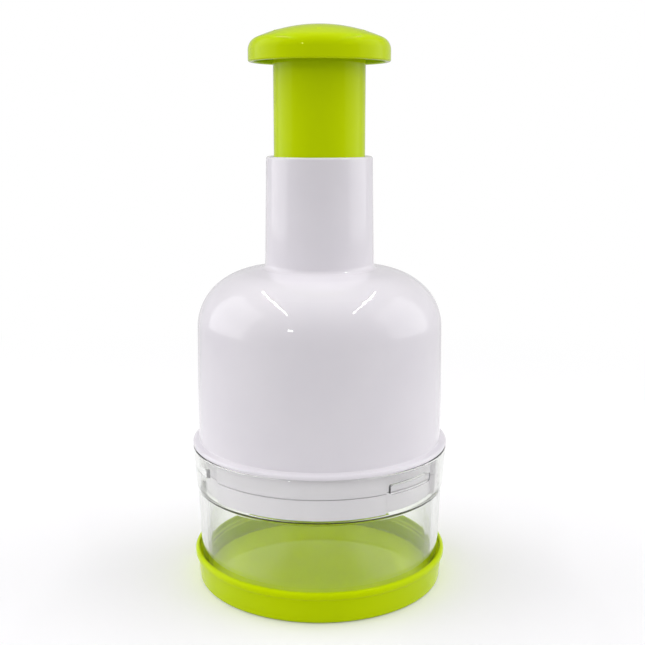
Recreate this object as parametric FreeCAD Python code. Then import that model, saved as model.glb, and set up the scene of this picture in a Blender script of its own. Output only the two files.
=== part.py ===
import FreeCAD, Part
import math
import os

# Plunger food chopper. Millimetres, +Z up, origin at the centre of the base's underside.
# The front of the object faces -Y. A bearing is an angle seen from above: 0 is the front,
# and it grows towards +X.

# ---------------------------------------------------------------- driving sizes: edge rounds
CRISP = 0.2
FINE = 0.3
EASED = 0.4
SOFT = 0.5
FULL = 0.6

# ---------------------------------------------------------------- driving sizes: base cap
base_foot_rise = 0.8            # how far the underside is hollowed above the foot rim
base_foot_width = 3.7
base_foot_draft = 0.5
base_floor = 3.0                # height of the floor that the cup stands on
base_wall = 1.8
base_wall_flare = 0.9           # the wall leans out this much on its way up
base_bottom_round = 1.2
base_wall_top = 9.3             # height where the rolled lip starts
base_height = 12.0
base_lip_overhang = 0.74        # how far the lip stands out from the wall
base_lip_underside = 0.3        # rise of the lip's underside on its way out
base_lip_gap = 1.05             # open ring between the lip and the cup
base_lip_round = 1.4
base_lip_depth = 2.0            # from the lip's top down to where its inside leans in
base_lip_lean = 1.7             # height of that leaning stretch
base_lip_low_round = 0.5

# ---------------------------------------------------------------- driving sizes: cup
cup_height = 49.8
cup_spigot_height = 6.0         # part of the cup that sits inside the base cap
cup_spigot_inset = 1.1
cup_shoulder = 0.8              # height of the sloping shoulder above the spigot
cup_spigot_clearance = 0.3
cup_wall_foot = 1.8             # wall thickness at the bottom
cup_wall_draft = 1.12           # the outside grows this much up to the collar
cup_bore_draft = 0.4            # the bore grows this much up to the ledge
cup_collar_height = 16.4
cup_collar_step = 0.41
cup_collar_slope = 1.2          # height of the sloping step under the collar
cup_collar_draft = 1.05
cup_collar_wall = 3.28          # collar thickness at the rim
lug_depth = 1.5
lug_height = 3.4
lug_drop = 4.9                  # from the rim down to the top of a lug
lug_span = 27.0                 # degrees
lug_end_round = 1.4
lug_bearing = 45.5
guard_drop = 15.4               # from the cup's rim down to the guard ring's lower edge

# ---------------------------------------------------------------- driving sizes: housing
body_r = 45.65                  # outside of the bell's wall above the flange
body_top_inset = 0.5            # the wall draws in this much up to the shoulder
body_straight = 21.089          # upright part of the wall above the flange
body_bend_round = 400.0         # where the upright wall starts to draw in
bell_height = 53.5              # from the cup's rim to the shoulder's corner
shoulder_round = 20.0
shoulder_slope = 41.0           # degrees down from level, between shoulder and crown
crown_round = 24.0
crown_slope = 11.0              # degrees down from level, at the foot of the neck
shell_wall = 2.2
flange_overhang = 2.33
flange_edge_height = 0.5
flange_round = 1.2
flange_arc = 71.66              # degrees that the flange's edge round turns through
neck_wall = 2.3                 # at the neck's top
neck_draft = 0.76
neck_height = 40.263
neck_root_round = 2.0
pad_count = 3
pad_span = 84.0                 # degrees
pad_bearing = -11.0
pad_clearance = 0.3
lug_clearance = 0.3
skirt_wall = 1.9
skirt_seam = 7.9                # from the cup's rim down to the seam above the guard ring
skirt_thick_height = 3.4        # the thick skirt reaches this far above the rim
skirt_step_height = 2.8         # sloping step from the skirt's bore out to the bell's
neck_lip_round = 0.9
neck_bore_round = 0.6
pad_round = 0.25
skirt_step_round = 1.0
bell_step_round = 1.5
boss_screw_count = 3
sleeve_screw_start = 90.0       # angle of the first screw
cover_screw_start = 30.0
seam_gap = 0.2

# ---------------------------------------------------------------- driving sizes: motion
stroke_twist = 45.0             # degrees that the blades turn in one full stroke
tip_clearance = 0.2             # blade tips above the floor at the end of the stroke
turning_gap = 0.3               # between parts that turn or slide past each other
bearing_clearance = 0.05        # running fit of the shaft in its bush

# ---------------------------------------------------------------- driving sizes: guard, wiper
guard_below_tips = 0.8          # the guard's lower edge below the raised blade tips
guard_ledge = 1.4
guard_spigot_wall = 1.6
guard_spigot_height = 5.0
guard_spigot_clearance = 0.1
guard_lip_width = 2.7           # inner lip that carries the wiper disc
guard_ledge_gap = 0.5           # from the cup's ledge up to the guard
snap_bead = 0.3                 # how far the spigot's snap bead stands out
snap_bead_drop = 1.5            # from the spigot's top down to the bead
snap_bead_reach = 0.45          # half height of the bead
snap_groove_reach = 0.6         # half height of the groove it snaps into
wiper_gap = 0.4
wiper_thickness = 2.4
retainer_thickness = 1.4
retainer_width = 2.8

# ---------------------------------------------------------------- driving sizes: blades
blade_thickness = 1.0
fold_corners = 8                # corners of the zigzag, both ends included
fold_pitch = 0.254              # corner to corner, as a share of the blade's reach
blade_bend_r = 2.4
blade_edge_gap = 1.1            # blade folds inside the guard's opening
blade_slot_clearance = 0.45
blade_bevel = 0.35              # ground bevel on both sides of the cutting edge
blade_seat = 0.8                # how deep the blade sits in its holder
tab_width = 6.0
holder_thickness = 2.6
holder_inset = 4.5              # the holder's rim inside the blade folds
holder_landing_gap = 0.5        # holder above the wiper disc at the end of the stroke
hub_r = 8.0
hub_height = 1.6                # hub above the holder's disc
spigot_floor = 0.4              # hub floor between the blade's seat and the shaft
plate_inset = 3.0
plate_thickness = 0.6
tab_rise = 0.4                  # peened tab ends above the plate
hub_draft = 0.4
rivet_r = 1.5
rivet_head_r = 2.4
rivet_head = 0.7
rivet_crown = 0.56              # round of the rivet's upper head

# ---------------------------------------------------------------- driving sizes: shaft and nut
shaft_side = 6.0                # across the flats of the twisted square
shaft_chamfer = 0.7
shaft_r = 3.0
shaft_spigot_r = 2.6
shaft_root_inset = 0.05         # the round rod is this much thinner where the square ends
shaft_root_height = 1.0
shaft_collar_r = 4.6
shaft_collar = 2.0
shaft_clearance = 0.3           # sides of the nut's hole off the twisted square
shaft_hole_r = 4.5              # round holes that the shaft passes through
twist_runout = 2.5              # twisted square above the nut at the end of the stroke
cover_gap = 0.8                 # nut cover above the hub at rest
cover_thickness = 3.0
nut_r = 12.9
nut_thickness = 4.0
nut_play = 0.7                  # lift that frees the nut's teeth
tooth_count = 8
tooth_height = 1.0
tooth_width = 3.0
tooth_inner_r = 9.0
tooth_length = 3.2
tooth_gap = 0.15
chamber_wall = 1.8
cover_screw_r = 1.2
cover_screw_head_r = 2.3
cover_boss_r = 2.8
cover_screw_grip = 5.0
pilot_margin = 0.5              # pilot holes deeper than their screws

# ---------------------------------------------------------------- driving sizes: guide sleeve
sleeve_wall = 3.6
sleeve_floor = 3.0
sleeve_top_gap = 0.3
sleeve_flange = 3.0
sleeve_flange_width = 10.9
sleeve_flange_root = 0.8        # fillet between sleeve and flange
sleeve_flange_rise = 7.0        # from the spring's seat up to the flange
sleeve_screw_ring = 7.0         # screw axis outside the sleeve's wall
sleeve_screw_r = 1.5
sleeve_screw_head_r = 2.8
sleeve_screw_head = 2.2
sleeve_screw_hole_gap = 0.2
sleeve_boss_r = 3.6
sleeve_screw_grip = 8.0

# ---------------------------------------------------------------- driving sizes: plunger
stem_r = 16.53
stem_wall = 2.03
stem_clearance = 0.47
stem_foot_gap = 1.0             # stem above the spring's seat at the end of the stroke
stem_shown = 32.95              # neck's top up to the knob's rim
stem_plate = 3.0
key_depth = 1.67
key_width = 5.0
key_height = 5.7
key_foot = 0.3                  # key above the stem's lower end
key_stop_gap = 0.1              # key below the end of its groove, the plunger's upper stop
key_round = 0.5
knob_r = 25.45
knob_wall = 1.8
knob_rim_round = 0.7
knob_edge_round = 4.7
knob_edge_slope = 22.1          # degrees down from level, where the edge meets the crown
knob_edge_flat = 1.0358         # level width of the straight stretch from the edge round to the crown
knob_ring_wall = 1.6
knob_ring_gap = 1.85            # knob's inner ring above the neck at the end of the stroke
knob_boss_height = 4.6
knob_boss_r = 2.6
knob_rib = 1.4
knob_rib_count = 6
knob_rib_start = 30.0           # angle of the first rib
knob_screw_gap = 0.5            # screw heads inside the spring's coils
knob_screw_r = 1.25
knob_screw_head_r = 2.2
knob_screw_head = 2.1
knob_screw_grip = 3.2
knob_screw_hole_gap = 0.15
knob_stem_gap = 0.2             # knob's inner ring off the stem, all round and below
knob_rib_rise = 0.8             # ribs above the lower edge of the inner ring
bush_r = 4.8
bush_flange_r = 6.0
bush_flange = 0.8
washer_r = 5.5
washer_thickness = 0.6
clip_r = 5.0
clip_thickness = 0.8
stamped_edge = 0.1
clip_groove = 0.5
clip_play = 0.1
clip_opening = 3.6
shaft_end = 0.8                 # shaft above the clip

# ---------------------------------------------------------------- driving sizes: return spring
spring_wire = 1.6
spring_clearance = 1.0          # spring inside the stem's bore
spring_coils = 11
spring_play = 0.05
seat_washer = 0.8
seat_washer_margin = 0.7        # washer wider than the spring on both sides
washer_round = 0.15

SCREW_GAP = 0.05                # between a screw's shank and the wall it is cut into
POINT_ROUND = 0.5               # screw's end, as a share of its shank
HEAD_DOME = 0.45                # round of a pan head, and its recess, as a share of its height
RECESS_REACH = 0.55             # cross recess, as shares of the head's radius
RECESS_WIDTH = 0.25
SINK_DEPTH = 0.7                # recess of a countersunk head, as a share of its cone
TWIST_STEP = 7.5                # degrees between two sections of the twisted square
ARC_JOIN = 0.999                # keeps an arc's end a hair short of the outline's next point
OVERLAP = 0.4                   # how far joined shapes run into each other before they are fused
CUT_MARGIN = 1.0                # how far a cutting tool runs past the face it opens

# ---------------------------------------------------------------- heights worked out from them
rim_z = base_floor + cup_height
seam_z = rim_z - skirt_seam
bead_z = seam_z + guard_spigot_height - snap_bead_drop
guard_z = rim_z - guard_drop
tip_z = guard_z + guard_below_tips
travel = tip_z - tip_clearance - base_floor     # stroke of the plunger
cup_ledge_z = guard_z - guard_ledge_gap
wiper_z = guard_z + guard_ledge + turning_gap
wiper_top_z = wiper_z + wiper_thickness
retainer_z = wiper_top_z + turning_gap
holder_z = wiper_top_z + holder_landing_gap + travel
holder_top_z = holder_z + holder_thickness
plate_top_z = holder_top_z + plate_thickness
hub_top_z = holder_top_z + hub_height
spigot_z = holder_z + blade_seat + spigot_floor
cover_z = hub_top_z + cover_gap
cover_top_z = cover_z + cover_thickness
nut_z = cover_top_z + tooth_height + turning_gap
nut_top_z = nut_z + nut_thickness
sleeve_z = nut_top_z + nut_play
seat_z = sleeve_z + sleeve_floor
sleeve_flange_z = seat_z + sleeve_flange_rise
stem_z = seat_z + stem_foot_gap + travel
key_top_z = stem_z + key_height
shoulder_z = rim_z + bell_height

# ---------------------------------------------------------------- radii worked out from them
flange_r = body_r + flange_overhang
collar_bore_r = flange_r - cup_collar_wall
pad_r = collar_bore_r - pad_clearance
lug_tip_r = collar_bore_r - lug_depth
channel_r = lug_tip_r - lug_clearance
skirt_bore_r = channel_r - skirt_wall
guard_spigot_r = skirt_bore_r - guard_spigot_clearance
guard_bore_r = guard_spigot_r - guard_spigot_wall
guard_opening_r = guard_bore_r - guard_lip_width
wiper_r = guard_bore_r - wiper_gap
blade_reach = guard_opening_r - blade_edge_gap
holder_r = blade_reach - holder_inset
plate_r = holder_r - plate_inset
collar_foot_r = flange_r - cup_collar_draft
cup_top_r = collar_foot_r - cup_collar_step
cup_foot_r = cup_top_r - cup_wall_draft
cup_spigot_r = cup_foot_r - cup_spigot_inset
cup_bore_r = cup_spigot_r - cup_wall_foot
base_bore_r = cup_spigot_r + cup_spigot_clearance
base_wall_r = base_bore_r + base_wall
neck_bore_r = stem_r + stem_clearance
neck_top_r = neck_bore_r + neck_wall
neck_root_r = neck_top_r + neck_draft
key_r = stem_r + key_depth
keyway_r = key_r + turning_gap
keyway_width = key_width + 2 * turning_gap
sleeve_r = neck_bore_r + sleeve_wall
stem_bore_r = stem_r - stem_wall
spring_outer_r = stem_bore_r - spring_clearance
knob_screw_ring = spring_outer_r - spring_wire - knob_screw_gap - knob_screw_head_r
chamber_r = nut_r + turning_gap
cover_screw_axis_r = chamber_r + chamber_wall + cover_screw_head_r
sleeve_screw_axis_r = sleeve_r + sleeve_screw_ring

ORIGIN = FreeCAD.Vector(0, 0, 0)
UP = FreeCAD.Vector(0, 0, 1)


# ---------------------------------------------------------------- drawing and solid helpers
def side_view(radius, height):
    """Point of a turned outline: distance from the axis, and height."""
    return FreeCAD.Vector(radius, 0, height)


def plan_view(x, y):
    """Point of an outline drawn flat on the floor."""
    return FreeCAD.Vector(x, y, 0)


def outline(corners, view=side_view):
    """Closed wire through (u, v, round) corners, each rounded by a tangent arc of that radius."""
    points = [view(u, v) for u, v, _ in corners]
    bends = []
    for index, (_, _, radius) in enumerate(corners):
        here = points[index]
        back = (points[index - 1] - here).normalize()
        onward = (points[(index + 1) % len(points)] - here).normalize()
        if radius == 0:
            bends.append((here, None, here))
            continue
        half = back.getAngle(onward) / 2
        reach = radius / math.tan(half)
        middle = here + (back + onward).normalize() * (radius / math.sin(half) - radius)
        bends.append((here + back * reach, middle, here + onward * reach))
    edges = []
    for index, (entry, middle, leave) in enumerate(bends):
        if middle is not None:
            edges.append(Part.Arc(entry, middle, leave).toShape())
        next_entry = bends[(index + 1) % len(bends)][0]
        if leave.distanceToPoint(next_entry) > 1e-6:
            edges.append(Part.LineSegment(leave, next_entry).toShape())
    return Part.Wire(edges)


def turned(corners, start=0.0, sweep=360.0):
    """Solid turned about the axis from a side view outline, from one angle over a sweep."""
    solid = Part.Face(outline(corners)).revolve(ORIGIN, UP, sweep)
    solid.rotate(ORIGIN, UP, start)
    return solid


def ring(inner_r, outer_r, low, high, edge_round=0.0, start=0.0, sweep=360.0):
    """Flat ring, or a sector of one."""
    corners = [(inner_r, low), (outer_r, low), (outer_r, high), (inner_r, high)]
    return turned([(r, z, edge_round) for r, z in corners], start, sweep)


def rod(radius, low, high, x=0.0, y=0.0):
    """Upright cylinder."""
    return Part.makeCylinder(radius, high - low, FreeCAD.Vector(x, y, low))


def block(low, high):
    """Box between two corners."""
    size = FreeCAD.Vector(*high) - FreeCAD.Vector(*low)
    return Part.makeBox(size.x, size.y, size.z, FreeCAD.Vector(*low))


def turned_copies(shape, angles):
    """Copies of a shape turned about the axis."""
    copies = []
    for angle in angles:
        copy = shape.copy()
        copy.rotate(ORIGIN, UP, angle)
        copies.append(copy)
    return copies


def spread(count, start=0.0):
    """Evenly spaced angles."""
    return [start + 360.0 * index / count for index in range(count)]


def joined(shapes):
    """One solid made of shapes that run into each other."""
    return shapes[0].fuse(shapes[1:]).removeSplitter()


def bearing_angle(bearing):
    """Angle about +Z of a bearing that is counted from the front."""
    return bearing - 90.0


def parallel(corners, distance):
    """Open chain of corners moved sideways to its left, with its rounds kept concentric."""
    points = [side_view(u, v) for u, v, _ in corners]
    directions = [(b - a).normalize() for a, b in zip(points, points[1:])]
    normals = [FreeCAD.Vector(-d.z, 0, d.x) for d in directions]
    moved = [points[0] + normals[0] * distance]
    rounds = [0]
    for index in range(1, len(points) - 1):
        before, after = normals[index - 1], normals[index]
        share = distance / (1 + before.dot(after))
        moved.append(points[index] + (before + after) * share)
        turn = directions[index - 1].cross(directions[index]).y
        radius = corners[index][2]
        rounds.append(radius + math.copysign(distance, turn) if radius else 0)
    moved.append(points[-1] + normals[-1] * distance)
    rounds.append(0)
    return [(point.x, point.z, radius) for point, radius in zip(moved, rounds)]


def save(node, shapes):
    """Write one node's STEP file from one solid or a group of like solids."""
    shape = shapes[0] if len(shapes) == 1 else Part.Compound(shapes)
    if not shape.isValid():
        raise ValueError(node + " is not a valid solid")
    shape.exportStep(os.path.join("parts", node + ".step"))
    print(node, len(shape.Solids), round(shape.Volume, 1))


# ---------------------------------------------------------------- fasteners
def cross_recess(reach, width, low, high):
    """Cross-shaped hole for a screwdriver."""
    arm = block((-reach, -width / 2, low), (reach, width / 2, high))
    return joined([arm] + turned_copies(arm, [90]))


def pan_screw(shank_r, length, head_r, head):
    """Pan-head screw standing on its head, with the head's top face at height zero."""
    outline_corners = [
        (0, 0, 0),
        (head_r, 0, head * HEAD_DOME),
        (head_r, head, 0),
        (shank_r, head, 0),
        (shank_r, head + length, shank_r * POINT_ROUND),
        (0, head + length, 0),
    ]
    recess = cross_recess(head_r * RECESS_REACH, head_r * RECESS_WIDTH, -CUT_MARGIN, head * HEAD_DOME)
    return turned(outline_corners).cut(recess)


def countersunk_screw(shank_r, length, head_r):
    """Countersunk screw standing on its head, with the head's face at height zero."""
    cone = head_r - shank_r
    outline_corners = [
        (0, 0, 0),
        (head_r, 0, 0),
        (shank_r, cone, 0),
        (shank_r, length, shank_r * POINT_ROUND),
        (0, length, 0),
    ]
    recess = cross_recess(head_r * RECESS_REACH, head_r * RECESS_WIDTH, -CUT_MARGIN, cone * SINK_DEPTH)
    return turned(outline_corners).cut(recess)


def placed(shape, radius, angle, height):
    """Copy of a shape moved out to a radius, turned about the axis, and lifted."""
    copy = shape.copy()
    copy.translate(FreeCAD.Vector(radius, 0, height))
    copy.rotate(ORIGIN, UP, angle)
    return copy


# ---------------------------------------------------------------- base cap
def base_cap():
    """Green cap that the cup stands in: floor, thin wall and rolled lip."""
    lip_inner_r = cup_foot_r + base_lip_gap
    lip_outer_r = base_wall_r + base_wall_flare + base_lip_overhang
    foot_inner_r = base_wall_r - base_foot_width
    cap = turned([
        (0, base_foot_rise, 0),
        (foot_inner_r, base_foot_rise, EASED),
        (foot_inner_r + base_foot_draft, 0, CRISP),
        (base_wall_r, 0, base_bottom_round),
        (base_wall_r + base_wall_flare, base_wall_top, FULL),
        (lip_outer_r, base_wall_top + base_lip_underside, base_lip_low_round),
        (lip_outer_r, base_height, base_lip_round),
        (lip_inner_r, base_height, SOFT),
        (lip_inner_r, base_height - base_lip_depth, SOFT),
        (base_bore_r, base_height - base_lip_depth - base_lip_lean, FULL),
        (base_bore_r, base_floor, FINE),
        (0, base_floor, 0),
    ])
    return [cap]


# ---------------------------------------------------------------- cup
def cup():
    """Clear cup, open at both ends: spigot, tapered wall, collar with three inner lugs."""
    collar_z = rim_z - cup_collar_height
    shoulder = base_floor + cup_spigot_height
    wall = turned([
        (cup_bore_r, base_floor, FINE),
        (cup_spigot_r, base_floor, EASED),
        (cup_spigot_r, shoulder, CRISP),
        (cup_foot_r, shoulder + cup_shoulder, SOFT),
        (cup_top_r, collar_z, CRISP),
        (collar_foot_r, collar_z + cup_collar_slope, FINE),
        (flange_r, rim_z, SOFT),
        (collar_bore_r, rim_z, EASED),
        (collar_bore_r, cup_ledge_z, FINE),
        (cup_bore_r + cup_bore_draft, cup_ledge_z, SOFT),
    ])
    lug_top = rim_z - lug_drop
    lug_low = lug_top - lug_height
    start = bearing_angle(lug_bearing) - lug_span / 2
    lug = ring(lug_tip_r, collar_bore_r + OVERLAP, lug_low, lug_top, 0, start, lug_span)
    ends = [edge for edge in lug.Edges
            if abs(edge.Length - lug_depth - OVERLAP) < 1e-6 and abs(edge.BoundBox.ZLength) < 1e-6]
    lug = lug.makeFillet(lug_end_round, ends)
    return [joined([wall] + turned_copies(lug, spread(pad_count)))]


# ---------------------------------------------------------------- housing shell
def bell_corners():
    """Outside of the bell from the flange to the neck: corners, with their rounds."""
    flange_bend = math.radians(flange_arc)
    flange_corner_z = rim_z + flange_edge_height + flange_round * math.tan(flange_bend / 2)
    flange_top_z = flange_corner_z + flange_overhang / math.tan(flange_bend)
    lean = math.radians(shoulder_slope)
    rise = math.radians(crown_slope)
    shoulder_reach = shoulder_round * math.tan((math.pi / 2 - lean) / 2)
    crown_reach = crown_round * math.tan((lean - rise) / 2)
    slope_length = (shoulder_reach + crown_reach) / ARC_JOIN
    shoulder_r = body_r - body_top_inset
    crown_r = shoulder_r - slope_length * math.cos(lean)
    crown_z = shoulder_z + slope_length * math.sin(lean)
    neck_root_z = crown_z + (crown_r - neck_root_r) * math.tan(rise)
    return {
        "flange": [
            (flange_r, rim_z, EASED),
            (flange_r, flange_corner_z, flange_round * ARC_JOIN),
        ],
        "bell": [
            (body_r, flange_top_z, SOFT),
            (body_r, flange_top_z + body_straight, body_bend_round),
            (shoulder_r, shoulder_z, shoulder_round),
            (crown_r, crown_z, crown_round),
            (neck_root_r, neck_root_z, neck_root_round),
        ],
    }


bell = bell_corners()
neck_root_z = bell["bell"][-1][1]
neck_top_z = neck_root_z + neck_height


def bell_inside():
    """Inside of the bell, one wall thickness in from its outside."""
    inside = parallel(bell["bell"], shell_wall)
    last_r, last_z, _ = inside[-1]
    climb = (last_r - neck_bore_r) * math.tan(math.radians(crown_slope))
    return inside[:-1] + [(neck_bore_r, last_z + climb, FINE)]


def housing_envelope():
    """Filled outside shape of the bell, used to trim what stands up under the dome."""
    top_r, top_z, _ = bell["bell"][-1]
    return turned([(0, rim_z, 0)] + bell["flange"] + bell["bell"][:-1] + [(top_r, top_z, 0), (0, top_z, 0)])


def keyway(low, high):
    """Pair of grooves beside the stem's bore, for the keys at its foot."""
    groove = block((0, -keyway_width / 2, low), (keyway_r, keyway_width / 2, high))
    return turned_copies(groove, spread(2))


def housing_shell():
    """White bell, flange, skirt with three pads, and neck."""
    inside = bell_inside()
    skirt_low = seam_z + seam_gap
    wall = turned(
        [
            (skirt_bore_r, skirt_low, FINE),
            (channel_r, skirt_low, FINE),
            (channel_r, rim_z, 0),
        ]
        + bell["flange"]
        + bell["bell"]
        + [
            (neck_top_r, neck_top_z, neck_lip_round),
            (neck_bore_r, neck_top_z, neck_bore_round),
        ]
        + list(reversed(inside[1:]))
        + [
            (inside[0][0], rim_z + skirt_thick_height + skirt_step_height, bell_step_round),
            (skirt_bore_r, rim_z + skirt_thick_height, skirt_step_round),
        ]
    )
    pad_start = bearing_angle(pad_bearing) - pad_span / 2
    pad = ring(channel_r - OVERLAP, pad_r, skirt_low, rim_z + OVERLAP, pad_round, pad_start, pad_span)
    bosses = []
    pilots = []
    for angle in spread(boss_screw_count, sleeve_screw_start):
        boss = placed(rod(sleeve_boss_r, sleeve_flange_z + sleeve_flange, neck_top_z),
                      sleeve_screw_axis_r, angle, 0)
        bosses.append(boss.common(housing_envelope()))
        pilots.append(placed(rod(sleeve_screw_r + SCREW_GAP, 0, sleeve_screw_grip + pilot_margin),
                             sleeve_screw_axis_r, angle, sleeve_flange_z + sleeve_flange))
    groove_r = guard_spigot_r + snap_bead + guard_spigot_clearance
    bead_groove = ring(skirt_bore_r - CUT_MARGIN, groove_r,
                       bead_z - snap_groove_reach, bead_z + snap_groove_reach)
    tools = keyway(inside[-1][1] - CUT_MARGIN, key_top_z + key_stop_gap)
    shell = joined([wall] + turned_copies(pad, spread(pad_count)) + bosses)
    return [shell.cut(tools + pilots + [bead_groove]).removeSplitter()]


# ---------------------------------------------------------------- guard ring and wiper
def guard_ring():
    """White ring below the skirt, with the same three pads, and a spigot that snaps into the skirt."""
    bead_r = guard_spigot_r + snap_bead
    spigot_top_z = seam_z + guard_spigot_height
    wall = turned([
        (guard_opening_r, guard_z, EASED),
        (channel_r, guard_z, FINE),
        (channel_r, seam_z, CRISP),
        (guard_spigot_r, seam_z, 0),
        (guard_spigot_r, bead_z - snap_bead_reach, 0),
        (bead_r, bead_z, snap_bead / 2),
        (guard_spigot_r, bead_z + snap_bead_reach, 0),
        (guard_spigot_r, spigot_top_z, EASED),
        (guard_bore_r, spigot_top_z, EASED),
        (guard_bore_r, guard_z + guard_ledge, CRISP),
        (guard_opening_r, guard_z + guard_ledge, CRISP),
    ])
    pad_start = bearing_angle(pad_bearing) - pad_span / 2
    pad = ring(channel_r - OVERLAP, pad_r, guard_z, seam_z, pad_round, pad_start, pad_span)
    return [joined([wall] + turned_copies(pad, spread(pad_count)))]


def wiper_retainer():
    """Ring pressed into the guard ring above the wiper disc."""
    return [ring(guard_bore_r - retainer_width, guard_bore_r - SCREW_GAP,
                 retainer_z, retainer_z + retainer_thickness, FINE)]


def zigzag():
    """Plan of the blade's folds: eight points that alternate across the opening."""
    reach = blade_reach
    points = []
    for index in range(fold_corners):
        x = reach * (index - (fold_corners - 1) / 2) * fold_pitch
        side = 1 if index % 2 else -1
        points.append((x, side * math.sqrt((reach - blade_bend_r) ** 2 - x ** 2)))
    return points


def strip(points, bend_r, width, tail, low, high):
    """Upright sheet that follows points in plan, rounded at each bend, and runs past both ends."""
    path = [plan_view(x, y) for x, y in points]
    path[0] = path[0] + (path[0] - path[1]).normalize() * tail
    path[-1] = path[-1] + (path[-1] - path[-2]).normalize() * tail
    along = [(b - a).normalize() for a, b in zip(path, path[1:])]
    left = [FreeCAD.Vector(-d.y, d.x, 0) for d in along]

    def side_edges(shift):
        edges = []
        last = path[0] + left[0] * shift
        for index in range(1, len(path) - 1):
            here = path[index]
            back, onward = -along[index - 1], along[index]
            half = back.getAngle(onward) / 2
            reach = bend_r / math.tan(half)
            centre = here + (back + onward).normalize() * (bend_r / math.sin(half))
            turn = 1 if along[index - 1].cross(along[index]).z > 0 else -1
            radius = bend_r - turn * shift
            entry = here + back * reach + left[index - 1] * shift
            leave = here + onward * reach + left[index] * shift
            middle = centre + (here - centre).normalize() * radius
            edges.append(Part.LineSegment(last, entry).toShape())
            edges.append(Part.Arc(entry, middle, leave).toShape())
            last = leave
        end = path[-1] + left[-1] * shift
        edges.append(Part.LineSegment(last, end).toShape())
        return edges, path[0] + left[0] * shift, end

    left_edges, left_start, left_end = side_edges(width / 2)
    right_edges, right_start, right_end = side_edges(-width / 2)
    caps = [
        Part.LineSegment(left_end, right_end).toShape(),
        Part.LineSegment(left_start, right_start).toShape(),
    ]
    face = Part.Face(Part.Wire(Part.__sortEdges__(left_edges + right_edges + caps)))
    solid = face.extrude(FreeCAD.Vector(0, 0, high - low))
    solid.translate(FreeCAD.Vector(0, 0, low))
    return solid


def wiper_disc():
    """Disc that turns with the blades and wipes them through its zigzag slot."""
    disc = ring(0, wiper_r, wiper_z, wiper_top_z, 0)
    slot_width = blade_thickness + 2 * blade_slot_clearance
    slot = strip(zigzag(), blade_bend_r, slot_width, blade_slot_clearance,
                 wiper_z - CUT_MARGIN, wiper_top_z + CUT_MARGIN)
    return [disc.cut(slot)]


# ---------------------------------------------------------------- blades
def along_fold(fold, share):
    """Place and direction on one straight fold of the blade: a share of the way along it."""
    (x0, y0), (x1, y1) = zigzag()[fold], zigzag()[fold + 1]
    angle = math.degrees(math.atan2(y1 - y0, x1 - x0))
    return x0 + (x1 - x0) * share, y0 + (y1 - y0) * share, angle


TAB_PLACES = [(1, 0.5), (2, 0.25), (4, 0.75), (5, 0.5)]     # fold, and share of the way along it
RIVET_PLACES = [(0, 0.12), (3, 0.19)]                       # each with its twin on the far side


def blade_tabs(thickness, length, low, high):
    """Four upright tabs on the blade's top edge, or the holes for them."""
    tabs = []
    for fold, share in TAB_PLACES:
        x, y, angle = along_fold(fold, share)
        tab = block((-length / 2, -thickness / 2, low), (length / 2, thickness / 2, high))
        tab.rotate(ORIGIN, UP, angle)
        tab.translate(FreeCAD.Vector(x, y, 0))
        tabs.append(tab)
    return tabs


def rivet_places():
    """Four places midway between neighbouring folds."""
    places = []
    for fold, share in RIVET_PLACES:
        x0, y0, _ = along_fold(fold, share)
        x1, y1, _ = along_fold(fold + 1, 1 - share)
        places.append(((x0 + x1) / 2, (y0 + y1) / 2))
        places.append((-(x0 + x1) / 2, -(y0 + y1) / 2))
    return places


def blade_strip():
    """Zigzag stainless blade with bevelled lower edges and four tabs on its top edge."""
    sheet = strip(zigzag(), blade_bend_r, blade_thickness, 0, tip_z, holder_z + blade_seat)
    cutting_edges = [edge for edge in sheet.Edges
                     if edge.BoundBox.ZMax < tip_z + 1e-6 and edge.Length > blade_thickness + 1e-6]
    sheet = sheet.makeChamfer(blade_bevel, cutting_edges)
    tabs = blade_tabs(blade_thickness, tab_width, holder_z, plate_top_z + tab_rise)
    return [joined([sheet] + tabs)]


def blade_holder():
    """Disc that carries the blade, with a hub for the shaft's spigot."""
    disc = turned([
        (0, holder_z, 0),
        (holder_r, holder_z, FULL),
        (holder_r, holder_top_z, FULL),
        (hub_r, holder_top_z, 0),
        (hub_r - hub_draft, hub_top_z, SOFT),
        (0, hub_top_z, 0),
    ])
    seat = strip(zigzag(), blade_bend_r, blade_thickness, 0, holder_z - CUT_MARGIN, holder_z + blade_seat)
    tools = [seat, rod(shaft_spigot_r, spigot_z, hub_top_z + CUT_MARGIN)]
    tools += blade_tabs(blade_thickness, tab_width, holder_z, holder_top_z + CUT_MARGIN)
    for x, y in rivet_places():
        tools.append(rod(rivet_r, holder_z - CUT_MARGIN, holder_top_z + CUT_MARGIN, x, y))
        tools.append(rod(rivet_head_r, holder_z - CUT_MARGIN, holder_z + rivet_head, x, y))
    return [disc.cut(tools)]


def blade_plate():
    """Thin stainless plate that backs the holder."""
    plate = ring(hub_r, plate_r, holder_top_z, plate_top_z)
    tools = blade_tabs(blade_thickness, tab_width, holder_top_z - CUT_MARGIN, plate_top_z + CUT_MARGIN)
    for x, y in rivet_places():
        tools.append(rod(rivet_r, holder_top_z - CUT_MARGIN, plate_top_z + CUT_MARGIN, x, y))
    return [plate.cut(tools)]


def blade_rivets():
    """Four rivets through the plate and the holder, their lower heads sunk in the holder."""
    rivet = turned([
        (0, holder_z, 0),
        (rivet_head_r, holder_z, CRISP),
        (rivet_head_r, holder_z + rivet_head, 0),
        (rivet_r, holder_z + rivet_head, 0),
        (rivet_r, plate_top_z, 0),
        (rivet_head_r, plate_top_z, 0),
        (rivet_head_r, plate_top_z + rivet_head, rivet_crown),
        (0, plate_top_z + rivet_head, 0),
    ])
    rivets = []
    for x, y in rivet_places():
        copy = rivet.copy()
        copy.translate(FreeCAD.Vector(x, y, 0))
        rivets.append(copy)
    return rivets


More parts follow.
